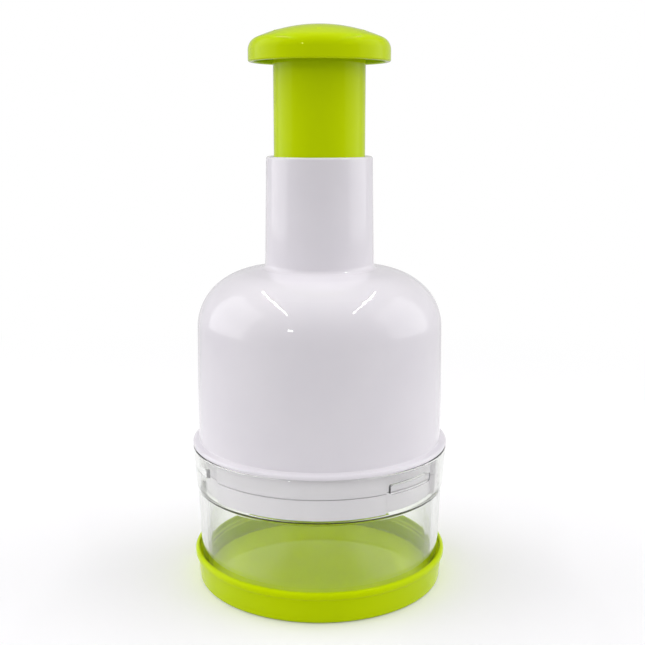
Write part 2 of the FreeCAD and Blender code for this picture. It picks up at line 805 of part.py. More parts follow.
# ---------------------------------------------------------------- knob and stem heights
knob_rim_z = neck_top_z + stem_shown
knob_ring_z = neck_top_z + travel + knob_ring_gap
stem_plate_z = knob_ring_z - knob_stem_gap
stem_top_z = stem_plate_z + stem_plate
knob_ceiling_z = stem_top_z + knob_boss_height
knob_top_z = knob_ceiling_z + knob_wall
collar_top_z = stem_plate_z - turning_gap
bush_top_z = stem_top_z + bush_flange
washer_z = bush_top_z + clip_play
clip_z = washer_z + washer_thickness + clip_play
shaft_top_z = clip_z + clip_thickness + shaft_end
spring_low_z = seat_z + seat_washer + spring_play
spring_high_z = stem_plate_z - spring_play


# ---------------------------------------------------------------- twisted shaft and its nut
def twisted_square(side, chamfer, low, high):
    """Square bar, twisted at the stroke's rate, with chamfered corners."""
    half = side / 2
    plan = []
    for index in range(4):
        turn = math.pi / 2 * index
        for u, v in [(half, half - chamfer), (half - chamfer, half)]:
            plan.append((u * math.cos(turn) - v * math.sin(turn), u * math.sin(turn) + v * math.cos(turn)))
    rate = stroke_twist / travel
    steps = max(2, math.ceil(rate * (high - low) / TWIST_STEP))
    sections = []
    for step in range(steps + 1):
        height = low + (high - low) * step / steps
        points = [plan_view(x, y) for x, y in plan]
        section = Part.makePolygon(points + points[:1])
        section.rotate(ORIGIN, UP, rate * (height - cover_z))
        section.translate(FreeCAD.Vector(0, 0, height))
        sections.append(section)
    return Part.makeLoft(sections, True, False)


def spiral_shaft():
    """Steel shaft: spigot, twisted square, round rod, collar, and journal with a clip groove."""
    twist_top_z = nut_top_z + travel + twist_runout
    square = twisted_square(shaft_side, shaft_chamfer, hub_top_z, twist_top_z)
    spigot = rod(shaft_spigot_r, spigot_z, hub_top_z + OVERLAP)
    upper = turned([
        (0, twist_top_z - OVERLAP, 0),
        (shaft_r - shaft_root_inset, twist_top_z - OVERLAP, 0),
        (shaft_r, twist_top_z + shaft_root_height, 0),
        (shaft_r, collar_top_z - shaft_collar, 0),
        (shaft_collar_r, collar_top_z - shaft_collar, EASED),
        (shaft_collar_r, collar_top_z, CRISP),
        (shaft_r, collar_top_z, 0),
        (shaft_r, clip_z - clip_play / 2, 0),
        (shaft_r - clip_groove, clip_z - clip_play / 2, 0),
        (shaft_r - clip_groove, clip_z + clip_thickness + clip_play / 2, 0),
        (shaft_r, clip_z + clip_thickness + clip_play / 2, 0),
        (shaft_r, shaft_top_z, EASED),
        (0, shaft_top_z, 0),
    ])
    return [joined([square, spigot, upper])]


def wedge_tooth(root_height, tip_height, upright_y, run):
    """Saw tooth: an upright face at one side, and a ramp that runs away from it."""
    points = [
        FreeCAD.Vector(tooth_inner_r, upright_y, root_height),
        FreeCAD.Vector(tooth_inner_r, upright_y + run, root_height),
        FreeCAD.Vector(tooth_inner_r, upright_y, tip_height),
    ]
    face = Part.Face(Part.makePolygon(points + points[:1]))
    return face.extrude(FreeCAD.Vector(tooth_length, 0, 0))


def twist_nut():
    """Nut with a twisted square hole and saw teeth on its underside."""
    body = ring(0, nut_r, nut_z, nut_top_z, 0)
    tooth = wedge_tooth(nut_z, nut_z - tooth_height, 0, -tooth_width)
    hole = twisted_square(shaft_side + 2 * shaft_clearance, shaft_chamfer,
                          nut_z - tooth_height - CUT_MARGIN, nut_top_z + CUT_MARGIN)
    return [joined([body] + turned_copies(tooth, spread(tooth_count))).cut(hole)]


def nut_cover():
    """Plate under the nut, with the saw teeth that it locks against."""
    plate = ring(shaft_hole_r, sleeve_r, cover_z, cover_top_z, EASED)
    tooth = wedge_tooth(cover_top_z, cover_top_z + tooth_height, tooth_gap, tooth_width)
    body = joined([plate] + turned_copies(tooth, spread(tooth_count)))
    cone = cover_screw_head_r + SCREW_GAP
    sink = turned([
        (0, -CUT_MARGIN, 0),
        (cone + CUT_MARGIN, -CUT_MARGIN, 0),
        (cover_screw_r + SCREW_GAP, cone - cover_screw_r - SCREW_GAP, 0),
        (cover_screw_r + SCREW_GAP, cover_thickness + CUT_MARGIN, 0),
        (0, cover_thickness + CUT_MARGIN, 0),
    ])
    tools = [placed(sink, cover_screw_axis_r, angle, cover_z)
             for angle in spread(boss_screw_count, cover_screw_start)]
    return [body.cut(tools)]


def cover_screws():
    """Three countersunk screws that hold the nut cover to the sleeve."""
    screw = countersunk_screw(cover_screw_r, cover_thickness + cover_screw_grip, cover_screw_head_r)
    return [placed(screw, cover_screw_axis_r, angle, cover_z)
            for angle in spread(boss_screw_count, cover_screw_start)]


# ---------------------------------------------------------------- guide sleeve
def guide_sleeve():
    """Sleeve that carries on the neck's bore, with the spring's seat and the nut's chamber."""
    top_z = bell_inside()[-1][1] - (sleeve_r - neck_bore_r) * math.tan(math.radians(crown_slope))
    flange_outer_r = sleeve_r + sleeve_flange_width
    wall = turned([
        (shaft_hole_r, sleeve_z, 0),
        (sleeve_r, sleeve_z, SOFT),
        (sleeve_r, sleeve_flange_z, sleeve_flange_root),
        (flange_outer_r, sleeve_flange_z, FULL),
        (flange_outer_r, sleeve_flange_z + sleeve_flange, FULL),
        (sleeve_r, sleeve_flange_z + sleeve_flange, sleeve_flange_root),
        (sleeve_r, top_z - sleeve_top_gap, SOFT),
        (neck_bore_r, top_z - sleeve_top_gap, SOFT),
        (neck_bore_r, seat_z, EASED),
        (shaft_hole_r, seat_z, 0),
    ])
    chamber = ring(chamber_r, chamber_r + chamber_wall, cover_top_z, sleeve_z + OVERLAP)
    bosses = []
    tools = keyway(seat_z + stem_foot_gap / 2, top_z + CUT_MARGIN)
    for angle in spread(boss_screw_count, cover_screw_start):
        boss = rod(cover_boss_r, cover_top_z, sleeve_z + OVERLAP)
        bosses.append(placed(boss, cover_screw_axis_r, angle, 0))
        pilot_top_z = cover_top_z + cover_screw_grip + pilot_margin
        pilot = rod(cover_screw_r + SCREW_GAP, cover_top_z - CUT_MARGIN, pilot_top_z)
        tools.append(placed(pilot, cover_screw_axis_r, angle, 0))
    for angle in spread(boss_screw_count, sleeve_screw_start):
        hole = rod(sleeve_screw_r + sleeve_screw_hole_gap,
                   sleeve_flange_z - CUT_MARGIN, sleeve_flange_z + sleeve_flange + CUT_MARGIN)
        tools.append(placed(hole, sleeve_screw_axis_r, angle, 0))
    nut_room = ring(0, chamber_r, cover_top_z - CUT_MARGIN, sleeve_z)
    return [joined([wall, chamber] + bosses).cut(tools + [nut_room])]


def sleeve_screws():
    """Three pan-head screws up through the sleeve's flange into the dome's bosses."""
    shank = sleeve_flange + sleeve_screw_grip
    screw = pan_screw(sleeve_screw_r, shank, sleeve_screw_head_r, sleeve_screw_head)
    head_z = sleeve_flange_z - sleeve_screw_head
    return [placed(screw, sleeve_screw_axis_r, angle, head_z)
            for angle in spread(boss_screw_count, sleeve_screw_start)]


# ---------------------------------------------------------------- return spring
def spring_washer():
    """Steel washer on the sleeve's floor, under the spring."""
    inner_r = spring_outer_r - spring_wire - seat_washer_margin
    return [ring(inner_r, spring_outer_r + seat_washer_margin,
                 seat_z, seat_z + seat_washer, washer_round)]


def return_spring():
    """Compression spring from the washer up to the stem's end plate."""
    mean_r = spring_outer_r - spring_wire / 2
    low = spring_low_z + spring_wire / 2
    height = spring_high_z - spring_wire / 2 - low
    pitch = height / spring_coils
    helix = Part.makeHelix(pitch, height, mean_r)
    start = FreeCAD.Vector(mean_r, 0, 0)
    heading = FreeCAD.Vector(0, 2 * math.pi * mean_r, pitch)
    section = Part.Wire([Part.makeCircle(spring_wire / 2, start, heading)])
    coil = Part.Wire(helix.Edges).makePipeShell([section], True, True)
    solid = Part.Solid(coil) if coil.ShapeType == "Shell" else coil
    solid.translate(FreeCAD.Vector(0, 0, low))
    return [solid]


# ---------------------------------------------------------------- plunger
def plunger_stem():
    """Green tube with an end plate under the knob, and two keys at its foot."""
    tube = turned([
        (stem_bore_r, stem_z, EASED),
        (stem_r, stem_z, EASED),
        (stem_r, stem_top_z, FINE),
        (bush_r, stem_top_z, 0),
        (bush_r, stem_plate_z, 0),
        (stem_bore_r, stem_plate_z, EASED),
    ])
    key = block((stem_r - OVERLAP, -key_width / 2, stem_z + key_foot), (key_r, key_width / 2, key_top_z))
    upright = [edge for edge in key.Edges
               if edge.BoundBox.ZLength > key_height / 2 and edge.BoundBox.XMin > stem_r]
    key = key.makeFillet(key_round, upright)
    holes = []
    for angle in spread(boss_screw_count):
        hole = rod(knob_screw_r + knob_screw_hole_gap, stem_plate_z - CUT_MARGIN, stem_top_z + CUT_MARGIN)
        holes.append(placed(hole, knob_screw_ring, angle, 0))
    return [joined([tube] + turned_copies(key, spread(2))).cut(holes)]


def knob_corners():
    """Outside of the knob from its rim to its top, with the rounds."""
    slope = math.radians(knob_edge_slope)
    edge_reach = knob_edge_round * math.tan((math.pi / 2 - slope) / 2)
    crown_round = (knob_r - edge_reach * math.cos(slope) - knob_edge_flat) / math.sin(slope)
    crown_corner_r = crown_round * math.tan(slope / 2)
    edge_z = knob_top_z - (knob_r - crown_corner_r) * math.tan(slope)
    return [
        (knob_r, knob_rim_z, 0),
        (knob_r, edge_z, knob_edge_round),
        (crown_corner_r, knob_top_z, crown_round * ARC_JOIN),
        (0, knob_top_z, 0),
    ]


def knob_cap():
    """Green mushroom knob: domed shell, ring around the stem's top, ribs and screw bosses."""
    outside = knob_corners()
    inside = parallel(outside, knob_wall)
    shell = turned(
        [(knob_r, knob_rim_z, knob_rim_round)]
        + outside[1:]
        + list(reversed(inside[1:]))
        + [(inside[0][0], knob_rim_z, knob_rim_round)]
    )
    envelope = turned([(0, knob_rim_z, 0)] + outside)
    ring_r = stem_r + knob_stem_gap
    collar = ring(ring_r, ring_r + knob_ring_wall, knob_ring_z, knob_top_z)
    extras = [collar]
    for angle in spread(boss_screw_count):
        boss = rod(knob_boss_r, stem_top_z, knob_top_z)
        extras.append(placed(boss, knob_screw_ring, angle, 0))
    rib = block((ring_r + knob_ring_wall / 2, -knob_rib / 2, knob_ring_z + knob_rib_rise),
                (knob_r - knob_wall / 2, knob_rib / 2, knob_top_z))
    extras += turned_copies(rib, spread(knob_rib_count, knob_rib_start))
    trimmed = [extra.common(envelope) for extra in extras]
    pilots = []
    for angle in spread(boss_screw_count):
        pilot_top_z = stem_top_z + knob_screw_grip + pilot_margin
        pilot = rod(knob_screw_r + SCREW_GAP, stem_top_z - CUT_MARGIN, pilot_top_z)
        pilots.append(placed(pilot, knob_screw_ring, angle, 0))
    return [joined([shell] + trimmed).cut(pilots)]


def knob_screws():
    """Three pan-head screws up through the stem's end plate into the knob's bosses."""
    screw = pan_screw(knob_screw_r, stem_plate + knob_screw_grip, knob_screw_head_r, knob_screw_head)
    head_z = stem_plate_z - knob_screw_head
    return [placed(screw, knob_screw_ring, angle, head_z)
            for angle in spread(boss_screw_count)]


def swivel_bush():
    """Flanged bush in the end plate, in which the shaft turns."""
    bore = shaft_r + bearing_clearance
    return [turned([
        (bore, stem_plate_z, 0),
        (bush_r, stem_plate_z, 0),
        (bush_r, stem_top_z, 0),
        (bush_flange_r, stem_top_z, 0),
        (bush_flange_r, bush_top_z, CRISP),
        (bore, bush_top_z, 0),
    ])]


def thrust_washer():
    """Washer that the clip pulls up against."""
    return [ring(shaft_r + bearing_clearance, washer_r,
                 washer_z, washer_z + washer_thickness, stamped_edge)]


def shaft_clip():
    """Open spring clip in the shaft's groove."""
    whole = ring(shaft_r - clip_groove + SCREW_GAP, clip_r,
                 clip_z, clip_z + clip_thickness, stamped_edge)
    gap = block((0, -clip_opening / 2, clip_z - CUT_MARGIN),
                (clip_r + CUT_MARGIN, clip_opening / 2, clip_z + clip_thickness + CUT_MARGIN))
    return [whole.cut(gap)]


NODES = [
    base_cap, cup, housing_shell, guard_ring, wiper_retainer, wiper_disc,
    blade_strip, blade_holder, blade_plate, blade_rivets,
    spiral_shaft, twist_nut, nut_cover, cover_screws, guide_sleeve, sleeve_screws,
    spring_washer, return_spring, plunger_stem, knob_cap, knob_screws,
    swivel_bush, thrust_washer, shaft_clip,
]

os.makedirs("parts", exist_ok=True)
for build_node in NODES:
    save(build_node.__name__, build_node())
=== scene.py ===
import math
import bmesh
import bpy
from mathutils import Matrix, Vector


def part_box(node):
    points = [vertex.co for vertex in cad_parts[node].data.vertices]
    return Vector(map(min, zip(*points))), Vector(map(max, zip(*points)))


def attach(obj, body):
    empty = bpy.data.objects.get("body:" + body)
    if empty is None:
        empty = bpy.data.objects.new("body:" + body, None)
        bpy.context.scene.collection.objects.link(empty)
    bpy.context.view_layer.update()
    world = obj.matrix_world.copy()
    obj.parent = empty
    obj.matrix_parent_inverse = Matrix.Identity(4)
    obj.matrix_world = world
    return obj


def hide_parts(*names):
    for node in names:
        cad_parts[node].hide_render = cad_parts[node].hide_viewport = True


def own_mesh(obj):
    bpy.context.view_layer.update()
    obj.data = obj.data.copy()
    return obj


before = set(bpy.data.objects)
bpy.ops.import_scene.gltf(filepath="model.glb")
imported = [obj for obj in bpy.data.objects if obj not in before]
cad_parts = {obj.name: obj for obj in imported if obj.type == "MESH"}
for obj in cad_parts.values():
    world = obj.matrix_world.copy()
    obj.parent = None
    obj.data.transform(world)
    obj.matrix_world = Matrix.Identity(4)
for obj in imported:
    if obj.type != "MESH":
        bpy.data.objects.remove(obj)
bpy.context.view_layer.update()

# Plunger food chopper. Sizes are in millimetres, and are multiplied by MM where a mesh is made.
# A bearing is an angle seen from above: 0 is the front, and it grows towards +X.
MM = 0.001


# ------------ base cap
# The green cap that the cup stands in: a floor, a thin wall and a rolled lip, moulded in one
# piece of polished polypropylene. The cup's spigot drops into it and rests on its floor.
CREASE = math.radians(35.0)


def rounded(corners, step=10.0, chord=1.5):
    """Points of a closed outline whose (radius, height, round) corners are eased by arcs."""
    points = []
    for index, (radius, height, bend) in enumerate(corners):
        here = Vector((radius, height))
        back = (Vector(corners[index - 1][:2]) - here).normalized()
        onward = (Vector(corners[(index + 1) % len(corners)][:2]) - here).normalized()
        if bend == 0:
            points.append(here)
            continue
        half = back.angle(onward) / 2
        turn = math.pi - 2 * half
        middle = here + (back + onward).normalized() * bend / math.sin(half)
        spoke = here + back * bend / math.tan(half) - middle
        if back.cross(onward) > 0:
            turn = -turn
        count = max(2, math.ceil(abs(math.degrees(turn)) / step), math.ceil(abs(turn) * bend / chord))
        for part in range(count + 1):
            points.append(middle + Matrix.Rotation(turn * part / count, 2) @ spoke)
    return points


def spread(count, start=0.0):
    """Evenly spaced bearings in degrees."""
    return [start + 360.0 * index / count for index in range(count)]


def turned(name, corners, bearings=spread(240), reach=None):
    """Closed piece turned about the axis. `reach` may move a point at a bearing."""
    shape = bmesh.new()
    rings = []
    for radius, height in rounded(corners):
        ring = []
        for bearing in bearings if radius > 1e-4 else [0.0]:
            out, up = reach(radius, height, bearing) if reach else (radius, height)
            angle = math.radians(bearing)
            ring.append(shape.verts.new(Vector((out * math.sin(angle), -out * math.cos(angle), up)) * MM))
        rings.append(ring)
    for lower, upper in zip(rings, rings[1:] + rings[:1]):
        if len(lower) == 1 and len(upper) == 1:
            continue
        for index in range(len(bearings)):
            after = (index + 1) % len(bearings)
            loop = [lower[index % len(lower)], lower[after % len(lower)],
                    upper[after % len(upper)], upper[index % len(upper)]]
            shape.faces.new(list(dict.fromkeys(loop)))
    return shaded(name, shape)


def placed(name, data):
    """New object in the scene."""
    item = bpy.data.objects.new(name, data)
    bpy.context.scene.collection.objects.link(item)
    return item


def shaded(name, shape):
    """Piece from a closed shape: faces outwards, smooth between creases, flats kept flat."""
    bmesh.ops.recalc_face_normals(shape, faces=shape.faces)
    mesh = bpy.data.meshes.new(name)
    shape.to_mesh(mesh)
    shape.free()
    mesh.shade_smooth()
    mesh.set_sharp_from_angle(angle=CREASE)
    piece = placed(name, mesh)
    weighted = piece.modifiers.new("flats", "WEIGHTED_NORMAL")
    weighted.keep_sharp = True
    return settled(piece)


def settled(piece):
    """The same object with its modifiers worked into its mesh."""
    graph = bpy.context.evaluated_depsgraph_get()
    mesh = bpy.data.meshes.new_from_object(piece.evaluated_get(graph), depsgraph=graph)
    piece.modifiers.clear()
    piece.data = mesh
    return piece


class Value:
    """A node's output, which can stand in a plain sum."""

    def __init__(self, sheet, node, socket):
        self.sheet, self.node, self.socket = sheet, node, socket

    def __getitem__(self, output):
        return Value(self.sheet, self.node, self.node.outputs[output])

    def sum(self, operation, first, second=0.0):
        return self.sheet.node("ShaderNodeMath", {"operation": operation}, {0: first, 1: second})

    def put_through(self, operation):
        return self.sum(operation, self)

    def __add__(self, other):
        return self.sum("ADD", self, other)

    __radd__ = __add__

    def __sub__(self, other):
        return self.sum("SUBTRACT", self, other)

    def __rsub__(self, other):
        return self.sum("SUBTRACT", other, self)

    def __mul__(self, other):
        return self.sum("MULTIPLY", self, other)

    __rmul__ = __mul__

    def __truediv__(self, other):
        return self.sum("DIVIDE", self, other)

    def __gt__(self, other):
        return self.sum("GREATER_THAN", self, other)

    def __lt__(self, other):
        return self.sum("LESS_THAN", self, other)


class Sheet:
    """A node tree under construction."""

    def __init__(self, tree):
        self.tree = tree

    def node(self, kind, settings=None, sockets=None):
        """A new node: its settings first, then the value or the link of each socket."""
        made = self.tree.nodes.new(kind)
        for setting, value in (settings or {}).items():
            if setting == "items":
                for _ in range(value - 2):
                    made.index_switch_items.new()
            elif setting == "stops":
                while len(made.color_ramp.elements) < len(value):
                    made.color_ramp.elements.new(1.0)
                for element, (place, level) in zip(made.color_ramp.elements, value):
                    element.position = place
                    element.color = (level, level, level, 1.0)
            else:
                setattr(made, setting, value)
        for socket, value in (sockets or {}).items():
            if isinstance(value, Value):
                self.tree.links.new(value.socket, made.inputs[socket])
            else:
                made.inputs[socket].default_value = value
        return Value(self, made, made.outputs[0] if made.outputs else None)


class Finish(Sheet):
    """A material under construction, in metres, as Object coordinates are."""

    def __init__(self, name):
        self.material = bpy.data.materials.new(name)
        self.material.use_nodes = True
        super().__init__(self.material.node_tree)
        self.tree.nodes.clear()
        self.place = self.node("ShaderNodeTexCoord")["Object"]

    def stretched(self, scale, turn=(0.0, 0.0, 0.0)):
        """Object coordinates, turned and then scaled along each axis."""
        return self.node("ShaderNodeMapping", {}, {"Vector": self.place, "Rotation": turn, "Scale": scale})

    def noise(self, size, detail=2.0, place=None):
        """Noise whose blobs are about `size` millimetres across."""
        sockets = {"Vector": place or self.place, "Scale": 1.0 / (size * MM), "Detail": detail}
        return self.node("ShaderNodeTexNoise", {}, sockets)

    def ramp(self, factor, *stops):
        """Factor put through stops of (place, level)."""
        return self.node("ShaderNodeValToRGB", {"stops": stops}, {"Fac": factor})

    def mixed(self, first, second, pattern, low=0.35, high=0.65):
        """From the first colour to the second as the pattern goes from low to high."""
        factor = self.ramp(pattern, (low, 0.0), (high, 1.0))
        return self.node("ShaderNodeMix", {"data_type": "RGBA"}, {0: factor, 6: first, 7: second})[2]

    def bump(self, height, depth):
        """Surface relief of `depth` millimetres."""
        return self.node("ShaderNodeBump", {}, {"Height": height, "Distance": depth * MM, "Strength": 1.0})

    def surface(self, **sockets):
        """Principled shader; a socket's name has underscores for spaces."""
        named = {name.replace("_", " "): value for name, value in sockets.items()}
        return self.node("ShaderNodeBsdfPrincipled", {}, named)

    def done(self, shader):
        """Material whose surface is this shader."""
        self.node("ShaderNodeOutputMaterial", {}, {"Surface": shader})
        return self.material


def colour(red, green, blue):
    """Linear colour from 0-255 screen values."""
    levels = [value / 255 for value in (red, green, blue)]
    linear = [v / 12.92 if v <= 0.04045 else ((v + 0.055) / 1.055) ** 2.4 for v in levels]
    return (*linear, 1.0)


def hairlines(finish, size, share):
    """Faint straight scratches in three directions: 0 between them and 1 on them."""
    lines = None
    for turn in (0.4, 1.5, 2.6):
        place = finish.stretched((1.0, 0.03, 0.03), (turn, turn * 2.0, turn * 0.7))
        streak = finish.noise(size, 1.0, place)
        line = finish.ramp(streak, (0.5 - share, 0.0), (0.5, 1.0), (0.5 + share, 0.0))
        lines = line if lines is None else lines + line
    return lines


def moulded(name, main, shade, roughness, sheen_level, sheen_tint, relief=0.0012):
    """Glossy moulded plastic: slightly uneven colour, an orange-peel skin and faint scratches."""
    finish = Finish(name)
    flow = finish.noise(26.0, 3.0)
    skin = finish.noise(1.6, 2.0)
    fine = finish.noise(0.25, 1.0)
    marks = hairlines(finish, 1.2, 0.004)
    height = skin + 0.12 * fine - 0.25 * marks
    return finish.done(finish.surface(
        Base_Color=finish.mixed(main, shade, flow, 0.35, 0.7),
        Roughness=roughness + 0.02 * (flow - 0.5) + 0.04 * marks + 0.02 * (fine - 0.5),
        IOR=1.53,
        Specular_IOR_Level=sheen_level,
        Specular_Tint=sheen_tint,
        Normal=finish.bump(height, relief),
    ))


GREEN_SHEEN = (0.95, 1.0, 0.3, 1.0)
green = moulded("green_polypropylene", colour(201, 224, 0), colour(197, 221, 0), 0.05, 0.12, GREEN_SHEEN)
base_low, base_high = [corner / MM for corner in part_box("base_cap")]
BASE_FLOOR = 3.0
BASE_LIP_R = 48.04
BASE_LIP_BORE = 46.45
BASE_BORE = 44.6
base_cap = turned("base_cap_moulding", [
    (0, 1.1, 0),
    (1.2, 1.1, 0.2),
    (1.5, 0.8, 0.2),
    (42.7, 0.8, 0.4),
    (43.2, base_low.z, 0.2),
    (46.4, base_low.z, 1.2),
    (47.3, 9.3, 0.6),
    (BASE_LIP_R, 9.6, 0.5),
    (BASE_LIP_R, base_high.z, 1.4),
    (BASE_LIP_BORE, base_high.z, 0.5),
    (BASE_LIP_BORE, 10.0, 0.5),
    (BASE_BORE, 8.3, 0.6),
    (BASE_BORE, BASE_FLOOR, 0.3),
    (0, BASE_FLOOR, 0),
])
base_cap.data.materials.append(green)
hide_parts("base_cap")
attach(base_cap, "base")


# ------------ cup
# Clear cup of SAN, open at both ends, with a thicker collar. Three lugs inside the collar fit
# the channels between the housing's pads. It only stands in the base cap, and lifts straight out.
cup_low, cup_high = [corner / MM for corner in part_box("cup")]
RIM = cup_high.z
LUG_BEARINGS = spread(3, 45.5)
LUG_HALF_SPAN = 13.5
LUG_DEPTH = 1.5
LUG_LOW, LUG_HIGH = 44.5, 47.9
LUG_END_ROUND = 1.4
LUG_EDGE = 0.15
COLLAR_BORE = 44.7
COLLAR_FLOOR = 36.9
SPIGOT_R = 44.3


def from_nearest(bearing, centres):
    """Degrees from a bearing to the nearest of some centres."""
    return min(abs((bearing - centre + 180.0) % 360.0 - 180.0) for centre in centres)


def lug_reach(radius, height, bearing):
    """Draws the rows that frame the lugs into rounded bars, and moves their faces inwards."""
    if abs(radius - COLLAR_BORE) > 0.01 or not LUG_LOW - 0.01 < height < LUG_HIGH + 0.01:
        return radius, height
    middle = (LUG_LOW + LUG_HIGH) / 2
    half = (LUG_HIGH - LUG_LOW) / 2
    along = (LUG_HALF_SPAN - from_nearest(bearing, LUG_BEARINGS)) * math.radians(1) * COLLAR_BORE
    inset = LUG_END_ROUND - min(max(along, 0.0), LUG_END_ROUND)
    tall = half - LUG_END_ROUND + math.sqrt(LUG_END_ROUND ** 2 - inset ** 2)
    raised = along > -0.01 and abs(height - middle) < half - 0.1
    share = (height - middle) / half
    if not raised:
        return radius, middle + share * tall
    share = math.copysign(1.0, share) if abs(share) > 0.5 else share
    slope = 1.0 - min(max(along, 0.0) / LUG_DEPTH, 1.0)
    return radius - LUG_DEPTH * math.sqrt(1.0 - slope ** 2), middle + share * tall


def on_both_sides(centres, offsets):
    """Bearings at each of these offsets to the left and to the right of each centre."""
    return {(centre + side * away) % 360.0 for centre in centres for away in offsets for side in (1, -1)}


lug_columns = [LUG_HALF_SPAN, LUG_HALF_SPAN + 0.02]
for inset in (0.05, 0.15, 0.3, 0.5, 0.75, 1.1, 1.5):
    lug_columns.append(LUG_HALF_SPAN - math.degrees(inset / COLLAR_BORE))
cup_bearings = set(spread(240)) | on_both_sides(LUG_BEARINGS, lug_columns)


def clear(name, tint, edge_tint, roughness):
    """Clear moulded plastic: nearly colourless face on, greyer along its wall."""
    finish = Finish(name)
    marks = hairlines(finish, 1.5, 0.003)
    skin = finish.noise(3.0, 1.0)
    layers = []
    for depth_tint in (tint, edge_tint):
        layers.append(finish.surface(
            Base_Color=depth_tint,
            Roughness=roughness + 0.06 * marks,
            IOR=1.5,
            Specular_Tint=(0.9, 0.9, 0.9, 1.0),
            Transmission_Weight=1.0,
            Normal=finish.bump(skin, 0.001),
        ))
    slant = finish.node("ShaderNodeLayerWeight", {}, {"Blend": 0.5})["Facing"]
    along_wall = finish.ramp(slant, (0.42, 0.0), (1.0, 1.0))
    glassy = finish.node("ShaderNodeMixShader", {}, {0: along_wall, 1: layers[0], 2: layers[1]})
    lamp = finish.node("ShaderNodeLightPath")["Is Shadow Ray"]
    open_air = finish.node("ShaderNodeBsdfTransparent", {}, {"Color": (0.995, 0.995, 0.995, 1.0)})
    return finish.done(finish.node("ShaderNodeMixShader", {}, {0: lamp, 1: glassy, 2: open_air}))


# Its corners are well rounded, because clear plastic shows a small round as a hard dark line.
cup = turned("cup_moulding", [
    (42.5, cup_low.z, 0.8),
    (SPIGOT_R, cup_low.z, 0.4),
    (SPIGOT_R, 8.6, 1.5),
    (45.4, 9.8, 0.8),
    (46.52, 36.4, 2.0),
    (46.93, 37.6, 2.0),
    (47.98, RIM, 0.8),
    (COLLAR_BORE, RIM, 0.4),
    (COLLAR_BORE, LUG_HIGH, 0),
    (COLLAR_BORE, LUG_HIGH - LUG_EDGE, 0),
    (COLLAR_BORE, LUG_LOW + LUG_EDGE, 0),
    (COLLAR_BORE, LUG_LOW, 0),
    (COLLAR_BORE, COLLAR_FLOOR, 0.3),
    (42.9, COLLAR_FLOOR, 1.3),
], sorted(cup_bearings), lug_reach)
cup.data.materials.append(clear("clear_san", colour(251, 252, 250), colour(203, 207, 198), 0.01))
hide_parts("cup")
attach(cup, "cup")


# ------------ housing
# White bell in glossy ABS: skirt with three pads, flange that closes the cup, dome, and the neck
# that guides the plunger. One moulding, and its flange rests on the cup's rim.
WHITE = (1.0, 1.0, 1.0, 1.0)
white = moulded("white_abs", colour(239, 235, 241), colour(235, 231, 238), 0.05, 0.5, WHITE)
housing_low, housing_high = [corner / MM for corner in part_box("housing_shell")]
SKIRT_LOW = housing_low.z
NECK_TOP = housing_high.z
NECK_ROOT = NECK_TOP - 40.263
PAD_BEARINGS = spread(3, -11.0)
PAD_HALF_SPAN = 42.0
PAD_HEIGHT = 1.5
PAD_EASE = 0.25
CHANNEL_R = 42.9
SKIRT_BORE = 41.0
FLANGE_R = 47.98
BELL_FOOT_R = 45.65
BELL_FOOT_BORE = 43.45


def pad_reach(radius, height, bearing):
    """Raises the skirt's outside by a pad's height over the pads, with eased ends."""
    if height > RIM + 0.01 or radius < CHANNEL_R - 0.31 or radius > CHANNEL_R + 0.01:
        return radius, height
    inside = (PAD_HALF_SPAN - from_nearest(bearing, PAD_BEARINGS)) * math.radians(1) * CHANNEL_R
    if inside < -0.001:
        return radius, height
    drop = PAD_EASE - math.sqrt(PAD_EASE ** 2 - (PAD_EASE - min(inside, PAD_EASE)) ** 2)
    return radius + PAD_HEIGHT - drop, height


NECK_BORE = 17.0
KEYWAY_R = 18.5
KEYWAY_TOP = 135.8
KEYWAY_BEARINGS = (90.0, 270.0)
KEYWAY_HALF_SPAN = 9.48


def housing_reach(radius, height, bearing):
    """Raises the skirt's pads, and sinks the two keyways into the neck's bore."""
    if height < KEYWAY_TOP + 0.01 and abs(radius - NECK_BORE) < 0.35:
        if from_nearest(bearing, KEYWAY_BEARINGS) < KEYWAY_HALF_SPAN + 0.001:
            radius = KEYWAY_R
    return pad_reach(radius, height, bearing)


pad_insets = (-0.02, 0.0, 0.04, 0.12, PAD_EASE)
pad_columns = [PAD_HALF_SPAN - math.degrees(inset / CHANNEL_R) for inset in pad_insets]
pad_bearings = set(spread(240)) | on_both_sides(PAD_BEARINGS, pad_columns)
keyway_columns = (KEYWAY_HALF_SPAN, KEYWAY_HALF_SPAN + 0.05)
housing_bearings = pad_bearings | on_both_sides(KEYWAY_BEARINGS, keyway_columns)

shell = turned("housing_moulding", [
    (SKIRT_BORE, SKIRT_LOW, 0.3),
    (CHANNEL_R, SKIRT_LOW, 0.3),
    (CHANNEL_R, RIM, 0),
    (FLANGE_R, RIM, 0.4),
    (FLANGE_R, RIM + 1.366, 1.2),
    (BELL_FOOT_R, RIM + 2.138, 0.5),
    (BELL_FOOT_R, RIM + 23.227, 400.0),
    (45.15, RIM + 53.5, 20.0),
    (33.406, NECK_ROOT - 2.594, 24.0),
    (20.06, NECK_ROOT, 2.0),
    (19.3, NECK_TOP, 0.9),
    (NECK_BORE, NECK_TOP, 0.6),
    (NECK_BORE, KEYWAY_TOP + 0.05, 0),
    (NECK_BORE, KEYWAY_TOP, 0),
    (NECK_BORE, NECK_ROOT - 1.646, 0.3),
    (32.408, NECK_ROOT - 4.641, 21.8),
    (42.966, RIM + 52.483, 17.8),
    (BELL_FOOT_BORE, RIM + 23.209, 397.8),
    (BELL_FOOT_BORE, RIM + 6.2, 1.5),
    (SKIRT_BORE, RIM + 3.4, 1.0),
], sorted(housing_bearings), housing_reach)
shell.data.materials.append(white)


